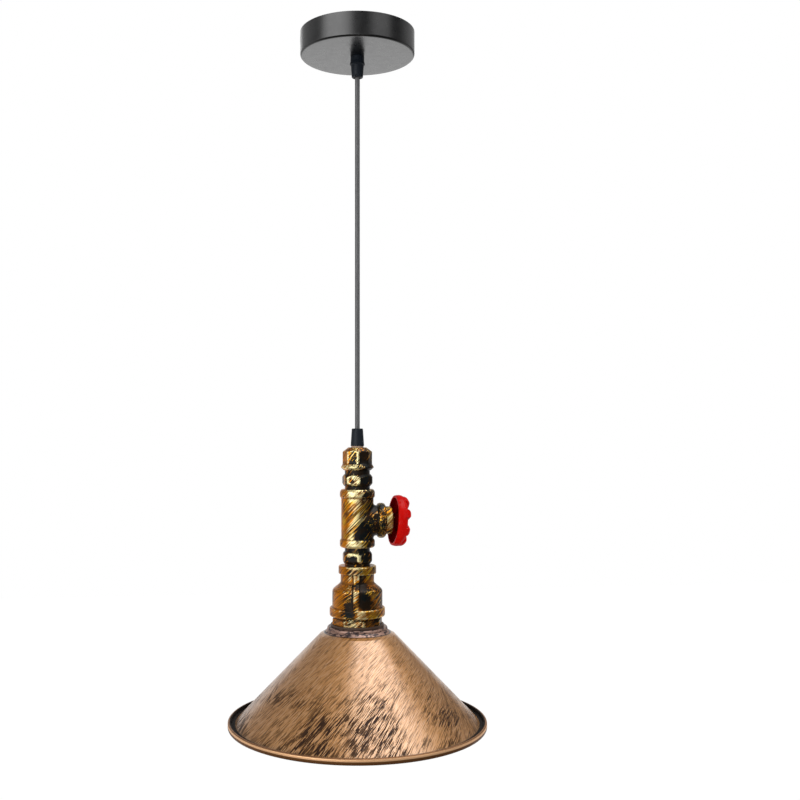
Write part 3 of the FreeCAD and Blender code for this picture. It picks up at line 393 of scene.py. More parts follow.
earth, tree, shader = finish_tree("green and yellow insulation", (0.5, 0.5, 0.02), 0.35)
wave = add(tree, "TexWave", {"wave_type": "BANDS", "bands_direction": "DIAGONAL"},
           Vector=object_mm(tree), Scale=0.3)
stripe = ramp(tree, wave.outputs["Fac"], 0.45, 0.55)
earth_green = (0.03, 0.22, 0.03)
earth_yellow = (0.72, 0.62, 0.02)
plug(tree, shader.inputs["Base Color"], blended(tree, stripe, earth_green, earth_yellow))
painted(earth, "earth_lead", "rose_earth_core", "lamp_earth_core")
painted(sheath, "rose_flex_tail", "lamp_flex")


# Cord grips
# Black plastic grips on M10 threads. The taper caps are slit at the mouth into claws that hold
# the flex, and the rose's grip has a flared collar.

grip_plastic = plastic("black plastic", (0.008, 0.011, 0.016), 0.42)
grip_plastic.node_tree.nodes["Principled BSDF"].inputs["Specular IOR Level"].default_value = 0.2
painted(grip_plastic, "upper_grip_body", "upper_grip_cap", "lower_grip_cap", "lower_grip_body")
rubber = plastic("black rubber", (0.012, 0.012, 0.012), 0.7)
painted(rubber, "upper_bush", "lower_bush", "upper_grip_clamp", "lower_grip_clamp")
pale_washer = plastic("pale fibre", (0.42, 0.30, 0.22), 0.6)
painted(pale_washer, "lower_grip_washer")


# Pipe cap
# An octagonal cap of malleable iron, cast with a sloped crown and a banded mouth, and drilled
# for the grip. Like all the fittings it is black, brushed with gold paint in slanting strokes.

def around_lamp(bearing, radius, height):
    """A place at a bearing from the camera's side of the lamp, positive to the right."""
    turn = math.radians(bearing + front_bearing - 90)
    return (radius * math.cos(turn), radius * math.sin(turn), height)


def spots(tree, here, places):
    """A value that rises or falls around places, each given with its size and amount."""
    full_share = 0.5
    end_share = 1.3
    total = 0.0
    for place, size, amount in places:
        away = vector_maths(tree, "DISTANCE", here, place)
        spot = ramp(tree, away, size * full_share, size * end_share, amount, 0.0)
        total = maths(tree, "ADD", spot, total)
    return total


def measured(tree, here, direction):
    """How far a point lies in a direction."""
    return vector_maths(tree, "DOT_PRODUCT", here, direction)


def flats(tree, here, sides):
    """A value that changes on flat sides or upright edges, each given with its bearing, its
    distance from the axis, its depth and its amount."""
    total = 0.0
    for bearing, distance, depth, amount in sides:
        outward = measured(tree, here, around_lamp(bearing, 1, 0))
        flat = ramp(tree, outward, distance - depth, distance - depth / 2, 0.0, amount)
        total = maths(tree, "ADD", flat, total)
    return total


def flat_direction(tree, place):
    """The level part, at length one, of a direction that is split into its parts."""
    flat = add(tree, "CombineXYZ", X=place.outputs["X"], Y=place.outputs["Y"]).outputs[0]
    return vector_maths(tree, "NORMALIZE", flat)


# The strokes turn by one radian over these lengths and are drawn out along the axis.
branch_height = -512
run_pitch = 17
branch_pitch = 15
drawn_out = 0.07

pale_gold = (0.98, 0.87, 0.46)
gold_paint = (0.80, 0.46, 0.025)
orange_gold = (0.66, 0.21, 0.003)
rust_brown = (0.20, 0.070, 0.004)
iron_brown = (0.012, 0.006, 0.002)
iron_green = (0.003, 0.005, 0.005)


def antique(name, gold, seed, places, sides=(), shady=0.13, rusty=0.0, axis="Z_AXIS"):
    """Black-green cast iron with slanting strokes of gold paint, wound about an axis. The gold
    is how much it covers, shady how much painted shade the right-hand side carries, as less gold
    and darker iron, and rusty how much more rust-red it is. Painted light makes the left side
    more orange and the front paler, and the places and sides paint highlights and shade. Edges
    carry more gold, worn and paler as a painted highlight, and the recesses stay black."""
    material, tree, shader = finish_tree(name, (0.3, 0.2, 0.05), 0.4)
    here = object_mm(tree)
    on_branch = axis == "X_AXIS"
    centred = vector_maths(tree, "ADD", here, (0, 0, -branch_height) if on_branch else (0, 0, 0))
    parts = add(tree, "SeparateXYZ", Vector=centred)
    along = parts.outputs["X" if on_branch else "Z"]
    twist = product(tree, along, 1 / branch_pitch if on_branch else -1 / run_pitch)
    swirl = add(tree, "VectorRotate", {"rotation_type": axis}, Vector=centred, Angle=twist).outputs[0]
    shifted = vector_maths(tree, "ADD", swirl, (seed * 31.0, seed * 17.0, seed * 7.0))
    brush = scaled(tree, shifted, (drawn_out, 1, 1) if on_branch else (1, 1, drawn_out))
    facing = flat_direction(tree, parts)
    # Masks for painted light: shade on the right-hand side, a more orange left side and a paler front.
    shaded_right_side = ramp(tree, measured(tree, facing, around_lamp(58, 1, 0)), 0.45, 0.92)
    front = ramp(tree, measured(tree, facing, around_lamp(-10, 1, 0)), 0.82, 0.96)
    left_side_light = ramp(tree, measured(tree, facing, around_lamp(-75, 1, 0)), 0.55, 0.9)
    broad = grain(tree, brush, 0.62, 1, 0.5)
    fine = grain(tree, brush, 1.5, 2, 0.6)
    patch = grain(tree, here, 0.05, 2)
    stands_out = add(tree, "Attribute", {"attribute_name": "relief"}).outputs["Fac"]
    edge = ramp(tree, stands_out, 0.12, 0.42)
    recess = ramp(tree, stands_out, -0.03, -0.28)

    # Where the gold lies, with less of it on the right-hand side as painted shade.
    cover = maths(tree, "SUBTRACT", maths(tree, "ADD", broad, product(tree, fine, 0.6)), 0.3)
    lines = grain(tree, brush, 0.42, 2, 0.5)
    lines = ramp(tree, maths(tree, "ABSOLUTE", maths(tree, "SUBTRACT", lines, 0.5)), 0.06, 0.02)
    cover = maths(tree, "SUBTRACT", cover, product(tree, lines, 0.18))
    cover = maths(tree, "ADD", cover, product(tree, maths(tree, "SUBTRACT", patch, 0.5), 0.3))
    cover = maths(tree, "ADD", cover, product(tree, edge, 0.15))
    cover = maths(tree, "SUBTRACT", cover, product(tree, recess, 0.40))
    cover = maths(tree, "SUBTRACT", cover, product(tree, shaded_right_side, shady))
    placed_light_and_shade = maths(tree, "ADD", spots(tree, here, places), flats(tree, here, sides))
    cover = maths(tree, "ADD", maths(tree, "ADD", cover, placed_light_and_shade), gold)
    strokes = ramp(tree, cover, 0.46, 0.54)

    # The gold's colour, from orange through gold to pale, with painted light: more orange on the left, paler
    # on the front, on edges and at the placed highlights.
    rust_and_side_light = maths(tree, "ADD", product(tree, left_side_light, 0.13), rusty)
    hue = maths(tree, "SUBTRACT", grain(tree, here, 0.09, 3), rust_and_side_light)
    tone = maths(tree, "SUBTRACT", grain(tree, brush, 0.8, 3), rust_and_side_light)
    warm = blended(tree, ramp(tree, hue, 0.38, 0.62), orange_gold, gold_paint)
    light = maths(tree, "ADD", maths(tree, "ADD", tone, placed_light_and_shade), product(tree, edge, 0.12))
    light = maths(tree, "ADD", light, product(tree, front, 0.10))
    gold_colour = blended(tree, ramp(tree, light, 0.52, 0.68), warm, pale_gold)

    # The iron under it, rusty where much gold lies, and darker on the right-hand side as painted shade.
    wear_and_light = maths(tree, "ADD", maths(tree, "ADD", patch, gold), maths(tree, "ADD", placed_light_and_shade, rust_and_side_light))
    ground = ramp(tree, wear_and_light, 0.50, 0.70)
    ground = product(tree, ground, ramp(tree, shaded_right_side, 0, 1, 1.0, 1.0 - 6 * shady))
    under = blended(tree, ramp(tree, hue, 0.4, 0.6), iron_brown, iron_green)
    under = blended(tree, ground, under, rust_brown)
    plug(tree, shader.inputs["Base Color"], blended(tree, strokes, under, gold_colour))
    plug(tree, shader.inputs["Metallic"], ramp(tree, strokes, 0, 1, 0.25, 0.85))
    plug(tree, shader.inputs["Roughness"], ramp(tree, tone, 0.3, 0.7, 0.30, 0.42))
    shader.inputs["Specular IOR Level"].default_value = 0.22
    sand = grain(tree, here, 0.8, 4, 0.6)
    skin = maths(tree, "ADD", product(tree, sand, 0.4), product(tree, broad, 0.6))
    bumped(tree, shader, skin, 0.0005, 0.6)
    return material


def note_relief(piece):
    """Stores how far each point stands out from the surface around it, in millimetres, for the
    worn gold and painted highlight on edges and the dark in recesses."""
    rounds = 14
    mesh = piece.data
    count = len(mesh.vertices)
    places = numpy.empty(count * 3)
    mesh.vertices.foreach_get("co", places)
    places = places.reshape(-1, 3)
    normals = numpy.empty(count * 3)
    mesh.vertices.foreach_get("normal", normals)
    ends = numpy.empty(len(mesh.edges) * 2, dtype=numpy.int32)
    mesh.edges.foreach_get("vertices", ends)
    start = numpy.concatenate((ends[0::2], ends[1::2]))
    finish = numpy.concatenate((ends[1::2], ends[0::2]))
    neighbours = numpy.bincount(start, minlength=count)
    smooth = places.copy()
    for _ in range(rounds):
        for axis in range(3):
            around = numpy.bincount(start, weights=smooth[finish, axis], minlength=count)
            smooth[:, axis] = around / neighbours
    relief = ((places - smooth) * normals.reshape(-1, 3)).sum(axis=1) / MM
    stored = mesh.attributes.new("relief", "FLOAT", "POINT")
    stored.data.foreach_set("value", relief.astype(numpy.float32))


def soft_min(first, second, softness):
    """The smaller of two values, rounded where they cross."""
    return (first + second - math.hypot(first - second, softness)) / 2


def soft_max(first, second, softness):
    """The larger of two values, rounded where they cross."""
    return (first + second + math.hypot(first - second, softness)) / 2


def flat_sided(angle, sides, flat, corner_bearing, softness):
    """Radius of a regular prism at an angle, its upright edges rounded."""
    first_corner = math.radians(front_bearing - 90 + corner_bearing)
    part = 2 * math.pi / sides
    from_middle = abs((angle - first_corner) % part - part / 2)
    return soft_min(flat / math.cos(from_middle), flat / math.cos(part - from_middle), softness)


def cast_skin(piece, depth, size, seed):
    """Gives a piece the slight unevenness of a sand casting, in millimetres. It lies a little
    below the even surface."""
    finer = 2.3
    finer_share = 0.5
    sunk = 0.6
    mesh = piece.data
    offset = Vector((seed, seed * 2, seed * 3))
    normals = [vertex.normal.copy() for vertex in mesh.vertices]
    for vertex, normal in zip(mesh.vertices, normals):
        where = vertex.co / (size * MM) + offset
        bump = noise.noise(where) + finer_share * noise.noise(where * finer) - sunk
        vertex.co += normal * depth * MM * bump
    mesh.update()
    note_relief(piece)


def top_and_low(node):
    """Highest and lowest height of a CAD node, in millimetres."""
    low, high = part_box(node)
    return high.z / MM, low.z / MM


cap_flat = 14.5
cap_corner = 3.2
# The spot and the flat sides paint light and shade: lighter on the left, a darker right-hand facet and
# painted highlights down two upright edges.
cap_iron = antique("antique iron of the cap", 0.02, 0, [(around_lamp(-15, 16, -459), 7, 0.04)], [
    (-64.3, cap_flat, 0.9, 0.04), (-19.3, cap_flat, 0.9, -0.02), (25.7, cap_flat, 0.9, -0.16),
    (cap_corner, 15.5, 0.5, 0.24), (cap_corner - 45, 15.5, 0.5, 0.20)])

cap_top, cap_low = top_and_low("pipe_cap")
cap_outline = 16.0
cap_band = 17.2
cap_bore = 13.3
cap_mouth = 14.2
cap_crown = 4.5
cap_crown_edge = 9.5
cap_round_middle = 8
cap_wall = 14
cap_band_low = cap_low + 2.7
cap_band_edge = cap_band_low + 0.8
cap_band_high = cap_band_low + 5.4
cap_shoulder = cap_top - 4.9


def cap_shape(radius, height, angle):
    """Octagon above, run into the round band below. The bore and the crown's middle stay round."""
    if height < cap_band_low + 1.0 or radius < cap_round_middle:
        return radius, height
    share = min(1, max(0, (height - cap_band_edge) / (cap_band_high - cap_band_edge)))
    cone = cap_band + (cap_flat - cap_band) * share
    if radius < cap_wall and height < cap_shoulder:
        return radius, height
    octagon = soft_min(radius, flat_sided(angle, 8, cap_flat, cap_corner, 0.3), 0.2)
    if height < cap_band_high + 1:
        octagon = soft_max(octagon, cone, 0.3)
    return octagon, height


cap = spun("pipe_cap_cast", [
    (thread_hole, cap_top, crisp), (thread_hole, cap_top - cap_crown, 0),
    (cap_bore, cap_top - cap_crown, 0), (cap_bore, cap_low, crisp),
    (cap_mouth, cap_low, 0.4), (cap_band, cap_band_low, 0.8), (cap_band, cap_band_edge, 0.5),
    (cap_outline, cap_band_high, 0), (cap_outline, cap_shoulder, 0.5), (cap_crown_edge, cap_top, 1.0)],
    around=192, longest=0.7, shaping=cap_shape, inside=13.5)
cast_skin(cap, 0.07, 2.6, 1.0)
dressed(cap, cap_iron, "lamp", "antique_iron", "pipe_cap")


# Hexagon nipples
# Two short threaded tubes with a hexagon in the middle for the spanner, one above the tee and
# one below it. They are left darker than the cast fittings.

nipple_bore = 10.5
nipple_thread = 13.2
outside_thread = 13.4
hex_height = 12.2
hex_flat = 15.0
hex_corner = 16.3
hex_face = 13.9
hex_chamfer = 3.0


def hexagon_nipple(name, node, hex_top, bearing, seed, iron):
    """A hexagon nipple of 30 mm across the flats on a 26.4 mm thread."""
    high, low = top_and_low(node)
    hex_low = hex_top - hex_height

    def shape(radius, height, angle):
        """Flat sides outside the thread."""
        if radius > outside_thread:
            flat_side = flat_sided(angle, 6, hex_flat, bearing, 0.5)
            radius = max(nipple_thread, soft_min(radius, flat_side, 0.4))
        return radius, height

    nipple = spun(name, [
        (nipple_bore, high, crisp), (nipple_bore, low, crisp), (nipple_thread, low, 0.5),
        (nipple_thread, hex_low, crisp), (hex_face, hex_low, crisp),
        (hex_corner, hex_low + hex_chamfer, 0.8), (hex_corner, hex_top - hex_chamfer, 0.8),
        (hex_face, hex_top, crisp), (nipple_thread, hex_top, crisp), (nipple_thread, high, 0.5)],
        around=168, longest=0.8, shaping=shape, inside=10.6)
    cast_skin(nipple, 0.05, 2.2, seed)
    dressed(nipple, iron, "lamp", "dark_iron", node)


# The front facets carry painted highlights, and one spot is painted darker.
upper_iron = antique("dark iron of the upper nipple", -0.14, 1,
                     [(around_lamp(-24, 15, -470), 3.0, -0.22)],
                     [(-16, hex_flat, 0.8, 0.26), (-76, hex_flat, 0.8, 0.10)])
hexagon_nipple("upper_nipple_cast", "upper_nipple", cap_low - 4.2, 14.0, 2.0, upper_iron)


# Tee
# A cast tee whose branch points to the right, with a rounded band at each mouth and a fillet
# where the branch meets the run.

def recast(name, voxel, depth, size, seed, swell):
    """A CAD node's shape as one even skin with softened edges, for a rough casting. The swell
    makes up for what the softening takes off, in millimetres."""
    source = nodes[name].copy()
    source.data = nodes[name].data.copy()
    source.modifiers.clear()
    bpy.context.scene.collection.objects.link(source)
    skin = source.modifiers.new("skin", "REMESH")
    skin.mode = "VOXEL"
    skin.voxel_size = voxel * MM
    smooth = source.modifiers.new("soft edges", "SMOOTH")
    smooth.factor = 0.5
    smooth.iterations = 4
    regain = source.modifiers.new("regain", "DISPLACE")
    regain.strength = swell * MM
    regain.mid_level = 0
    graph = bpy.context.evaluated_depsgraph_get()
    mesh = bpy.data.meshes.new_from_object(source.evaluated_get(graph))
    bpy.data.objects.remove(source)
    mesh.name = name + "_cast"
    mesh.shade_smooth()
    piece = bpy.data.objects.new(name + "_cast", mesh)
    bpy.context.scene.collection.objects.link(piece)
    cast_skin(piece, depth, size, seed)
    return piece


# The spots paint highlights on the front and left of the bands, and painted shade with patina round the
# branch's root.
tee_iron = antique("antique iron of the tee", 0.05, 2, [
    (around_lamp(35, 17, -526), 14, -0.06), (around_lamp(-34, 18, -484), 9, 0.09),
    (around_lamp(-4, 18, -484), 9, 0.12), (around_lamp(-28, 18, -536), 8, 0.09),
    (around_lamp(0, 18, -536), 8, 0.12), (around_lamp(12, 17, -524), 8, -0.12)])
tee = recast("pipe_tee", 0.5, 0.10, 3.0, 4.0, 0.25)
dressed(tee, tee_iron, "lamp", "antique_iron", "pipe_tee")


# Bonnet
# A round plug screwed into the tee's branch, with a bore in which the wheel's spindle turns.
# Its strokes are wound about the branch's line.

bonnet = recast("valve_bonnet", 0.45, 0.07, 2.6, 6.0, 0.2)
# The spots paint a highlight on the front and shade on the top.
branch_iron = antique("antique iron of the bonnet", 0.03, 3, [
    ((34, -14, -513), 9, 0.05), ((34, -4, -499), 8, -0.08)], shady=0.0, axis="X_AXIS")
dressed(bonnet, branch_iron, "lamp", "antique_iron", "valve_bonnet")


# Handwheel
# A small cast wheel in glossy red enamel, hollow at the back, with eight finger lobes round its
# front. A nut and a washer hold it on the brass spindle.

enamel_red = (0.5, 0.006, 0.004)
deep_red = (0.42, 0.002, 0.002)
bright_red = (0.58, 0.007, 0.004)
hollow_shade_red = (0.14, 0.001, 0.001)
enamel, tree, shader = finish_tree("red enamel", enamel_red, 0.3)
shader.inputs["Coat Roughness"].default_value = 0.1
shader.inputs["Specular IOR Level"].default_value = 0.0
pool = grain(tree, object_mm(tree), 0.12, 3)
body_red = blended(tree, pool, deep_red, bright_red)
# Painted shade: the recesses and the inside of the hollow back are a darker red.
stands_out = add(tree, "Attribute", {"attribute_name": "relief"}).outputs["Fac"]
hollow = ramp(tree, stands_out, 0.0, -0.35)
spindle_end = 36.4
spindle_line = (0.993844, 0.078217, -0.078459)
hollow_depth = 6.6
hollow_radius = 24.0
soft_step = 0.3
from_pivot = vector_maths(tree, "SUBTRACT", object_mm(tree), (spindle_end, 0, branch_height))
outward = measured(tree, from_pivot, spindle_line)
across = vector_maths(tree, "LENGTH", vector_maths(tree, "CROSS_PRODUCT", from_pivot, spindle_line))
inside = product(tree, ramp(tree, outward, hollow_depth + soft_step, hollow_depth - soft_step),
                 ramp(tree, across, hollow_radius + soft_step, hollow_radius - soft_step))
hollow = maths(tree, "MAXIMUM", hollow, inside)
plug(tree, shader.inputs["Base Color"], blended(tree, hollow, body_red, hollow_shade_red))
plug(tree, shader.inputs["Coat Weight"], ramp(tree, inside, 0, 1, 0.18, 0.0))
bumped(tree, shader, grain(tree, object_mm(tree), 0.3, 3), 0.0008, 0.5)

wheel = recast("handwheel", 0.4, 0.08, 5.0, 8.0, 0.0)
dressed(wheel, enamel, "wheel", "wheel_red", "handwheel")


# Lower nipple
# The same nipple as above the tee, turned a little, with its longer neck upward. Its gold, with a painted
# highlight, lies along a chamfer and down one upright edge.

# The spots and the upright edge paint the highlight, and one spot is painted darker.
lower_iron = antique("dark iron of the lower nipple", -0.12, 5, [
    (around_lamp(-34, 15.5, -547), 3, 0.28), (around_lamp(-18, 15.5, -546.5), 2.6, 0.26),
    (around_lamp(-4, 16, -546), 2.6, 0.26), (around_lamp(-20, 15.5, -553), 5, -0.12)],
    [(7, hex_corner, 0.5, 0.40)])
tee_low = top_and_low("pipe_tee")[1]
hexagon_nipple("lower_nipple_cast", "lower_nipple", tee_low - 4.7, 7.0, 10.0, lower_iron)


# Reducing socket
# A cast bell socket from the small pipe size to the large one, with a round band at each mouth
# and two upright ribs for the wrench.

socket_top, socket_low = top_and_low("reducing_socket")
socket_neck_high = socket_top - 8.6
socket_neck_low = socket_neck_high - 9.2
socket_body_high = socket_neck_low - 7.5
socket_body_low = socket_body_high - 18.2
socket_neck = 17.6
socket_body = 26.4
socket_big_band = 29.1
socket_small_band = 19.8
small_bore = 13.3
big_bore = 24.0
small_depth = 16.0
big_depth = 20.0
rib_half = 2.9
rib_rise = 1.7
rib_angle = math.radians(front_bearing - 90 - 2.5)


def socket_base(height):
    """Radius of the socket's plain outside at a height between its bands."""
    if height > socket_neck_low:
        return socket_neck
    if height > socket_body_high:
        share = (socket_neck_low - height) / (socket_neck_low - socket_body_high)
        return socket_neck + (socket_body - socket_neck) * share
    return socket_body


def ribbed(radius, height, angle):
    """Raises the two ribs from the socket's neck and body."""
    between_bands = socket_body_low - 0.01 <= height <= socket_neck_high + 0.01
    if not between_bands or radius < socket_base(height) - 1.5:
        return radius, height
    across = abs(radius * math.sin(angle - rib_angle))
    share = soft_min(1.0, max(0.0, (rib_half + 0.5 - across) / 1.0), 0.25)
    if share <= 0.01:
        return radius, height
    return max(radius, socket_base(height) + rib_rise * min(1.0, share * 1.15)), height


socket = spun("socket_cast", [
    (small_bore, socket_top, crisp), (small_bore, socket_top - small_depth, 0),
    (20.0, socket_low + 24.0, 0), (22.0, socket_low + big_depth, 0),
    (big_bore, socket_low + big_depth, 0), (big_bore, socket_low, crisp),
    (socket_big_band, socket_low, 1.6), (socket_big_band, socket_body_low, 1.6),
    (socket_body, socket_body_low, 0.6), (socket_body, socket_body_high, 5.0),
    (socket_neck, socket_neck_low, 3.0), (socket_neck, socket_neck_high, 0.6),
    (socket_small_band, socket_neck_high, 1.5), (socket_small_band, socket_top, 1.5)],
    around=224, longest=0.8, shaping=ribbed, inside=15.0)
cast_skin(socket, 0.10, 3.0, 12.0)

# The ribs carry more gold than the surface beside them, and paler gold: worn gold and a painted highlight.
for vertex, wear_and_sheen in zip(socket.data.vertices, socket.data.attributes["relief"].data):
    place = vertex.co / MM
    if abs(place.x * math.sin(rib_angle) - place.y * math.cos(rib_angle)) < rib_half + 0.4:
        if math.hypot(place.x, place.y) > socket_base(place.z) + rib_rise * 0.5:
            wear_and_sheen.value += 0.12
# The spots paint shade beside the rib and on the front of the body, neck and band, and highlights on both
# sides and on the band.
socket_iron = antique("antique iron of the socket", 0.0, 4, [
    (around_lamp(15, 27, -593), 9, -0.30), (around_lamp(-16, 26, -601), 8, -0.22),
    (around_lamp(8, 19, -580), 8, -0.22), (around_lamp(-14, 29, -608), 6, -0.18),
    (around_lamp(-52, 26, -592), 12, 0.06), (around_lamp(38, 26, -590), 9, 0.06),
    (around_lamp(10, 29, -608), 6, 0.12)], shady=0.05, rusty=0.06)
dressed(socket, socket_iron, "lamp", "antique_iron", "reducing_socket")


# Octagonal bush
# The plug that closes the socket: an octagonal head, a thread up into the socket and a floor
# that carries the hollow stud.

bush_top, bush_low = top_and_low("octagon_bush")
bush_head = bush_low + 6.3
bush_floor = bush_low + 8.5
bush_thread = 23.9
outside_bush_thread = 24.2
bush_bore = 17.0
bush_outline = 27.3
bush_flat = 25.0
bush_corner = 14.0


def bush_shape(radius, height, angle):
    """Octagonal head under the round thread."""
    if radius > outside_bush_thread:
        flat_side = flat_sided(angle, 8, bush_flat, bush_corner, 0.5)
        radius = max(bush_thread, soft_min(radius, flat_side, 0.4))
    return radius, height


bush = spun("bush_cast", [
    (thread_hole, bush_floor, 0.2), (thread_hole, bush_low, 0.2), (bush_outline, bush_low, 0.6),
    (bush_outline, bush_head - 0.8, 0.4), (25.4, bush_head, 0.4), (bush_thread, bush_head, crisp),
    (bush_thread, bush_top, 0.5), (bush_bore, bush_top, crisp), (bush_bore, bush_floor, crisp)],
    around=208, longest=0.8, shaping=bush_shape, inside=23.8)
cast_skin(bush, 0.08, 2.8, 14.0)
# The spot paints a highlight on the head's front left, and the right-hand side carries painted shade.
bush_iron = antique("antique iron of the bush", 0.0, 6, [(around_lamp(-15, 26, -617), 7, 0.08)],
                    shady=0.08, rusty=0.05)
dressed(bush, bush_iron, "lamp", "antique_iron", "octagon_bush")


# Shade washer
# A brown fibre washer that keeps the iron off the shade. Its edge shows as a dark line
# between the bush and the shade's ring.

gasket_top, gasket_low = top_and_low("shade_gasket")
gasket_bore = 12.0
gasket_radius = 27.8
gasket = spun("fibre_washer", [
    (gasket_bore, gasket_low, 0.2), (gasket_radius, gasket_low, 0.7),
    (gasket_radius, gasket_top, 0.2), (gasket_bore, gasket_top, 0.2)], around=192, longest=2.5)
brown_fibre = plastic("brown fibre", (0.05, 0.028, 0.018), 0.55)
dressed(gasket, brown_fibre, "lamp", "fibre_washer", "shade_gasket")


# Shade
# One spun sheet: a flat top with a stepped ring, a wide cone, a narrow gutter and a rim rolled
# into a round bead. The finish is copper over black, rubbed in slanting strokes.

shade_top = top_and_low("shade")[0]
ring_low = shade_top - 5.6
cone_top = ring_low - 2.6
cone_base = cone_top - 91.4
shoulder = 39.4
cone_foot = 127.6
rim_outer = 135.3
rim_inner = 131.7
bead_high = cone_base + 3.1
bead_low = bead_high - 6.6
bead_round = 1.75
step_radius = 31.2
ring_radius = 34.2
sheet = 1.0

bare_copper = (0.45, 0.27, 0.17)
copper_dark = (0.43, 0.197, 0.056)
copper_light = (0.48, 0.23, 0.074)
copper_hair = (0.52, 0.28, 0.12)
ring_pale = (0.36, 0.22, 0.17)
ring_black = (0.045, 0.03, 0.03)
seam_black = (0.02, 0.012, 0.012)
bead_brown = (0.23, 0.11, 0.048)
bead_highlight = (0.80, 0.47, 0.25)
bead_foot_shade = (0.12, 0.05, 0.016)
stroke_brown = (0.028, 0.013, 0.007)
gutter_black = (0.006, 0.004, 0.003)
copper, tree, shader = finish_tree("brushed copper", bare_copper, 0.4, 1.0)
shader.inputs["Coat Roughness"].default_value = 0.2
shader.inputs["Coat IOR"].default_value = 1.9
shader.inputs["Specular IOR Level"].default_value = 0.1
here = object_mm(tree)
parts = add(tree, "SeparateXYZ", Vector=here)
reach = from_axis(tree, parts)

# The strokes fan out from a point far to the upper right of the front. From the sides on they
# also follow the depth, so that they stay strokes when seen from there.
view_right = (0.993, -0.122, 0)
view_up = (0.032, 0.257, 0.966)
view_back = (0.122, 0.993, 0)
fan_centre_right = 236
fan_centre_up = -398
fan_distance = 362
side_begins = 0.42
side_share = 0.8
along_share = 0.06
to_right = measured(tree, here, view_right)
upward = measured(tree, here, view_up)
to_back = measured(tree, here, view_back)
fan_right = maths(tree, "SUBTRACT", to_right, fan_centre_right)
fan_up = maths(tree, "SUBTRACT", upward, fan_centre_up)
across = product(tree, maths(tree, "ARCTAN2", fan_up, fan_right), fan_distance)
past_side = maths(tree, "ADD", to_back, product(tree, reach, side_begins))
past_side = maths(tree, "MAXIMUM", past_side, 0)
across = maths(tree, "ADD", across, product(tree, past_side, side_share))
fan_place = add(tree, "CombineXYZ", X=fan_right, Y=fan_up).outputs[0]
along_stroke = product(tree, vector_maths(tree, "LENGTH", fan_place), along_share)
into_depth = product(tree, to_back, along_share)
stroke_place = add(tree, "CombineXYZ", X=across, Y=along_stroke, Z=into_depth).outputs[0]
front_place = add(tree, "CombineXYZ", X=to_right, Y=upward).outputs[0]
hair = grain(tree, stroke_place, 1.05, 2, 0.5)
fine_hair = grain(tree, stroke_place, 1.5, 1, 0.5)
brush = grain(tree, stroke_place, 0.16, 1, 0.5)
patches = grain(tree, front_place, 0.045, 1, 0.5)

# The strokes are dense in some places and thin in others, denser low down.
rubbed = spots(tree, front_place, [
    ((-75, -668, 0), 14, 0.2), ((-32, -695, 0), 26, 0.17), ((22, -671, 0), 22, 0.15),
    ((16, -706, 0), 28, 0.33), ((88, -686, 0), 20, 0.2), ((-47, -723, 0), 26, 0.38),
    ((-47, -632, 0), 34, -0.3), ((-78, -700, 0), 20, -0.25), ((50, -688, 0), 15, -0.35),
    ((68, -714, 0), 18, -0.4), ((30, -645, 0), 18, -0.3)])
low_down = ramp(tree, reach, 44, 110, -0.35, 0.15)
on_bead = ramp(tree, reach, cone_foot - 1.5, cone_foot + 0.5)
ring_edge = 34.9
on_ring = ramp(tree, reach, ring_edge, ring_edge - 0.6)
uneven = maths(tree, "ADD", product(tree, brush, 1.2), product(tree, patches, 1.2))
density = maths(tree, "ADD", maths(tree, "ADD", uneven, -0.9), maths(tree, "ADD", low_down, rubbed))
heavy = ramp(tree, density, -0.15, 1.05)
spread = product(tree, heavy, 0.1)
strokes = ramp(tree, maths(tree, "ADD", hair, spread), 0.59, 0.62)
thin_strokes = ramp(tree, maths(tree, "ADD", fine_hair, spread), 0.59, 0.63, 0, 0.85)
marks = product(tree, maths(tree, "MAXIMUM", strokes, thin_strokes), ramp(tree, heavy, 0, 1, 0.6, 1.0))
marks = product(tree, marks, maths(tree, "SUBTRACT", 1.0, maths(tree, "MAXIMUM", on_bead, on_ring)))
cloud = grain(tree, here, 0.03, 2, 0.5)
body_copper = blended(tree, ramp(tree, cloud, 0.3, 0.7), copper_dark, copper_light)
body_copper = blended(tree, ramp(tree, fine_hair, 0.46, 0.34), body_copper, copper_hair)
blotches = grain(tree, scaled(tree, here, (1, 1, 2)), 0.22, 3, 0.6)
ring_copper = blended(tree, ramp(tree, blotches, 0.46, 0.56), ring_pale, ring_black)
body_copper = blended(tree, on_ring, body_copper, ring_copper)
from_seam = maths(tree, "ABSOLUTE", maths(tree, "SUBTRACT", reach, ring_edge))
body_copper = blended(tree, ramp(tree, from_seam, 0.9, 0.3, 0.0, 0.85), body_copper, seam_black)

# The bead carries a painted highlight along its top and painted shade along its lower part, and the gutter is
# black.
up_bead = maths(tree, "SUBTRACT", parts.outputs["Z"], bead_low)
crest_highlight = product(tree, ramp(tree, up_bead, 3.5, 4.0), ramp(tree, up_bead, 6.0, 5.6))
outside = ramp(tree, reach, rim_outer - 2.6, rim_outer - 2.0)
foot_shade = product(tree, ramp(tree, up_bead, 3.5, 3.0), outside)
bead_copper = blended(tree, crest_highlight, bead_brown, bead_highlight)
bead_copper = blended(tree, foot_shade, bead_copper, bead_foot_shade)
body_copper = blended(tree, on_bead, body_copper, bead_copper)
gutter = product(tree, on_bead, ramp(tree, reach, rim_inner + 2.0, rim_inner + 1.2))
dark = maths(tree, "MAXIMUM", marks, gutter)
painted_copper = blended(tree, marks, body_copper, stroke_brown)
plug(tree, shader.inputs["Base Color"], blended(tree, gutter, painted_copper, gutter_black))
plug(tree, shader.inputs["Metallic"], ramp(tree, dark, 0, 1, 0.6, 0.2))
uncoated = maths(tree, "MAXIMUM", maths(tree, "MAXIMUM", dark, on_bead), product(tree, on_ring, 0.75))
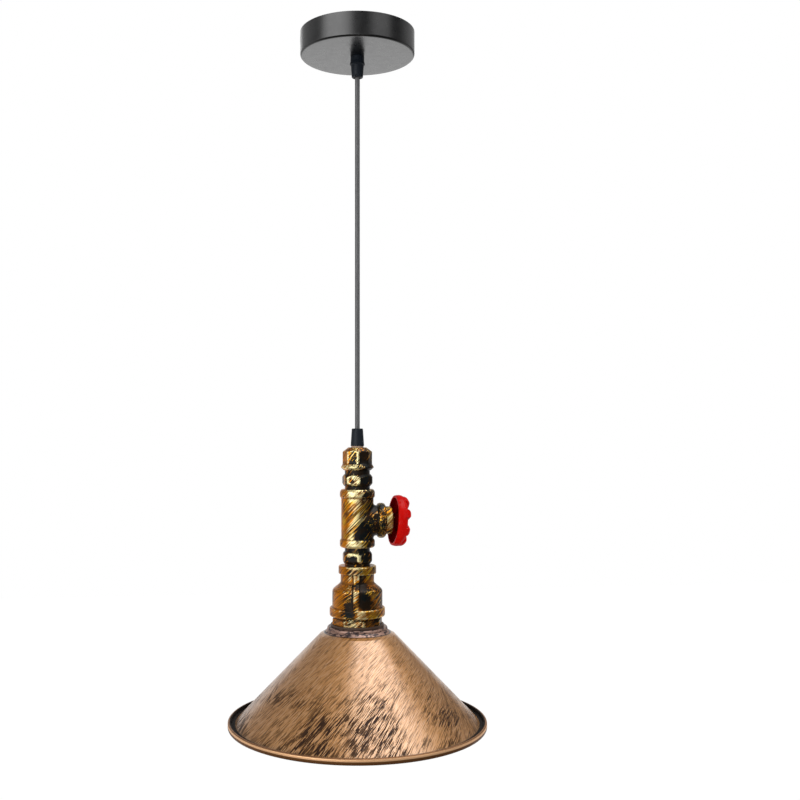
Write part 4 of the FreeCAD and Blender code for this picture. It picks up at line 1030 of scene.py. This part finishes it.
plug(tree, shader.inputs["Coat Weight"], ramp(tree, uncoated, 0, 1, 0.8, 0.03))
rough = maths(tree, "ADD", ramp(tree, hair, 0.3, 0.7, 0.40, 0.5), product(tree, gutter, 0.4))
plug(tree, shader.inputs["Roughness"], rough)
bumped(tree, shader, hair, 0.0003, 0.4)

slope = math.atan2(cone_foot - shoulder, cone_top - cone_base)
under = sheet / math.cos(slope)
shade = spun("spun_shade", [
    (thread_hole, shade_top, 0.2), (step_radius, shade_top, 1.5), (31.7, shade_top - 2.1, 0.2),
    (31.1, shade_top - 2.7, 0.25), (31.8, shade_top - 3.3, 0.25), (ring_radius, ring_low, 1.2),
    (shoulder, cone_top, 2.2), (cone_foot, cone_base, 0.7), (rim_inner, cone_base, 0.4),
    (rim_inner, bead_high, bead_round), (rim_outer, bead_high, bead_round),
    (rim_outer, bead_low, bead_round), (rim_inner, bead_low, bead_round),
    (rim_inner, cone_base - sheet, crisp),
    (cone_foot - under * math.tan(slope / 2), cone_base - sheet, 0.7),
    (shoulder - under * math.cos(slope), cone_top - sheet / 2, 2.0),
    (ring_radius - sheet, ring_low - sheet, 1.0), (step_radius - sheet, shade_top - sheet, 1.0),
    (thread_hole, shade_top - sheet, 0.2)], around=288, longest=2.4)
dressed(shade, copper, "lamp", "copper_sheet", "shade")


# Lampholder
# A screw lampholder in black plastic on a hollow stud, with a pale insulating core. It is
# seen only from below, inside the shade.

holder_plastic = plastic("holder plastic", (0.016, 0.016, 0.017), 0.35)
painted(holder_plastic, "holder_cap", "holder_skirt")
painted(plastic("glazed core", (0.72, 0.70, 0.64), 0.25), "holder_core")


# Studio
# A white floor far below the lamp, a white world and soft lamps to the left, right, above and
# behind. The camera sees the world white. Mirrored and refracted light sees soft boxes that are
# painted into it, in place of the lamps.

world = bpy.data.worlds.new("studio")
bpy.context.scene.world = world
world.use_nodes = True
tree = world.node_tree
background = tree.nodes["Background"]
path = add(tree, "LightPath")
mirrored = maths(tree, "MAXIMUM", path.outputs["Is Glossy Ray"], path.outputs["Is Transmission Ray"])
towards = add(tree, "TexCoord").outputs["Generated"]
facing = add(tree, "SeparateXYZ", Vector=towards)


def patch_of_light(direction, aim, inner, outer, strength):
    """A round soft patch: full within the inner angle from its aim, none beyond the outer one."""
    towards_aim = measured(tree, direction, Vector(aim).normalized())
    near = math.cos(math.radians(inner))
    far = math.cos(math.radians(outer))
    return ramp(tree, towards_aim, far, near, 0.0, strength)


level = flat_direction(tree, facing)
height = facing.outputs["Z"]
below_top = ramp(tree, height, 0.75, 0.5)
low_only = ramp(tree, height, 0.25, 0.1)
left_box = product(tree, patch_of_light(level, (-0.755, -0.656, 0), 4, 40, 1.0),
                   product(tree, ramp(tree, height, -0.05, 0.25, 1.45, 2.5), below_top))
right_box = product(tree, patch_of_light(level, (0.643, -0.766, 0), 5, 28, 0.95),
                    product(tree, ramp(tree, height, 0.08, 0.25), below_top))
left_edge = product(tree, patch_of_light(level, (-0.891, 0.454, 0), 12, 42, 0.5), low_only)
right_edge = product(tree, patch_of_light(level, (0.921, 0.391, 0), 10, 40, 0.22), low_only)
front_box = product(tree, patch_of_light(level, (-0.375, -0.928, 0), 6, 42, 1.3),
                    ramp(tree, height, 0.20, 0.02))
boxes = maths(tree, "ADD", maths(tree, "ADD", left_box, left_edge), maths(tree, "ADD", right_box, right_edge))
boxes = maths(tree, "ADD", boxes, front_box)
behind = product(tree, ramp(tree, height, 0.15, 0.4), ramp(tree, facing.outputs["Y"], -0.2, 0.3))
ceiling = product(tree, maths(tree, "MAXIMUM", ramp(tree, height, 0.35, 0.7), behind), 0.3)
overhead = patch_of_light(towards, (0.25, -0.04, 0.93), 10, 33, 4.1)
lights = maths(tree, "ADD", boxes, maths(tree, "ADD", ceiling, overhead))
lights = maths(tree, "ADD", lights, 0.05)
room = add(tree, "Mix", Factor=ramp(tree, facing.outputs["Y"], 0.78, 0.94), A=lights, B=1.0).outputs[0]
room_or_fill = add(tree, "Mix", Factor=mirrored, A=0.5, B=room).outputs[0]
strength = add(tree, "Mix", Factor=path.outputs["Is Camera Ray"], A=room_or_fill, B=1.0).outputs[0]
background.inputs["Color"].default_value = (1, 1, 1, 1)
plug(tree, background.inputs["Strength"], strength)

floor_mesh = bpy.data.meshes.new("floor")
half = 8
floor_height = -1.9
floor_mesh.from_pydata([(-half, -half, 0), (half, -half, 0), (half, half, 0), (-half, half, 0)],
                       [], [(0, 1, 2, 3)])
floor = bpy.data.objects.new("floor", floor_mesh)
floor.location.z = floor_height
bpy.context.scene.collection.objects.link(floor)
floor_paint = bpy.data.materials.new("white floor")
floor_paint.use_nodes = True
tree = floor_paint.node_tree
shader = tree.nodes["Principled BSDF"]
shader.inputs["Base Color"].default_value = (0.9, 0.9, 0.9, 1)
shader.inputs["Roughness"].default_value = 0.9
path = add(tree, "LightPath")
mirrored = maths(tree, "MAXIMUM", path.outputs["Is Glossy Ray"], path.outputs["Is Transmission Ray"])
far_side = add(tree, "SeparateXYZ", Vector=add(tree, "TexCoord").outputs["Object"]).outputs["Y"]
lit = add(tree, "Mix", Factor=mirrored, A=1.03, B=ramp(tree, far_side, -0.4, 1.2, 0.12, 0.9)).outputs[0]
glow = add(tree, "Emission", Color=(1, 1, 1), Strength=lit)
either = add(tree, "MixShader")
seen = maths(tree, "MAXIMUM", path.outputs["Is Camera Ray"], mirrored)
plug(tree, either.inputs[0], product(tree, seen, 0.97))
tree.links.new(shader.outputs[0], either.inputs[1])
tree.links.new(glow.outputs[0], either.inputs[2])
tree.links.new(either.outputs[0], tree.nodes["Material Output"].inputs[0])
floor_mesh.materials.append(floor_paint)


def lamp(name, place, aim, width, height, power):
    """A soft rectangular lamp at a place, turned towards a point."""
    data = bpy.data.lights.new(name, "AREA")
    data.shape = "RECTANGLE"
    data.size = width
    data.size_y = height
    data.energy = power
    light = bpy.data.objects.new(name, data)
    light.location = place
    light.rotation_euler = (Vector(aim) - Vector(place)).to_track_quat("-Z", "Y").to_euler()
    light.visible_glossy = False
    bpy.context.scene.collection.objects.link(light)


middle = (0, 0, -0.5)
shade_middle = (0, 0, -0.68)
lamp("key", (-1.25, -1.45, -0.2), middle, 0.45, 1.6, 22)
lamp("fill", (1.6, -1.25, -0.3), middle, 0.4, 1.4, 6)
lamp("top", (1.2, 0.15, 0.75), shade_middle, 0.6, 0.6, 18)
lamp("back", (0.4, 1.8, 0.3), middle, 1.2, 1.2, 8)

bpy.context.scene.view_settings.view_transform = "Standard"
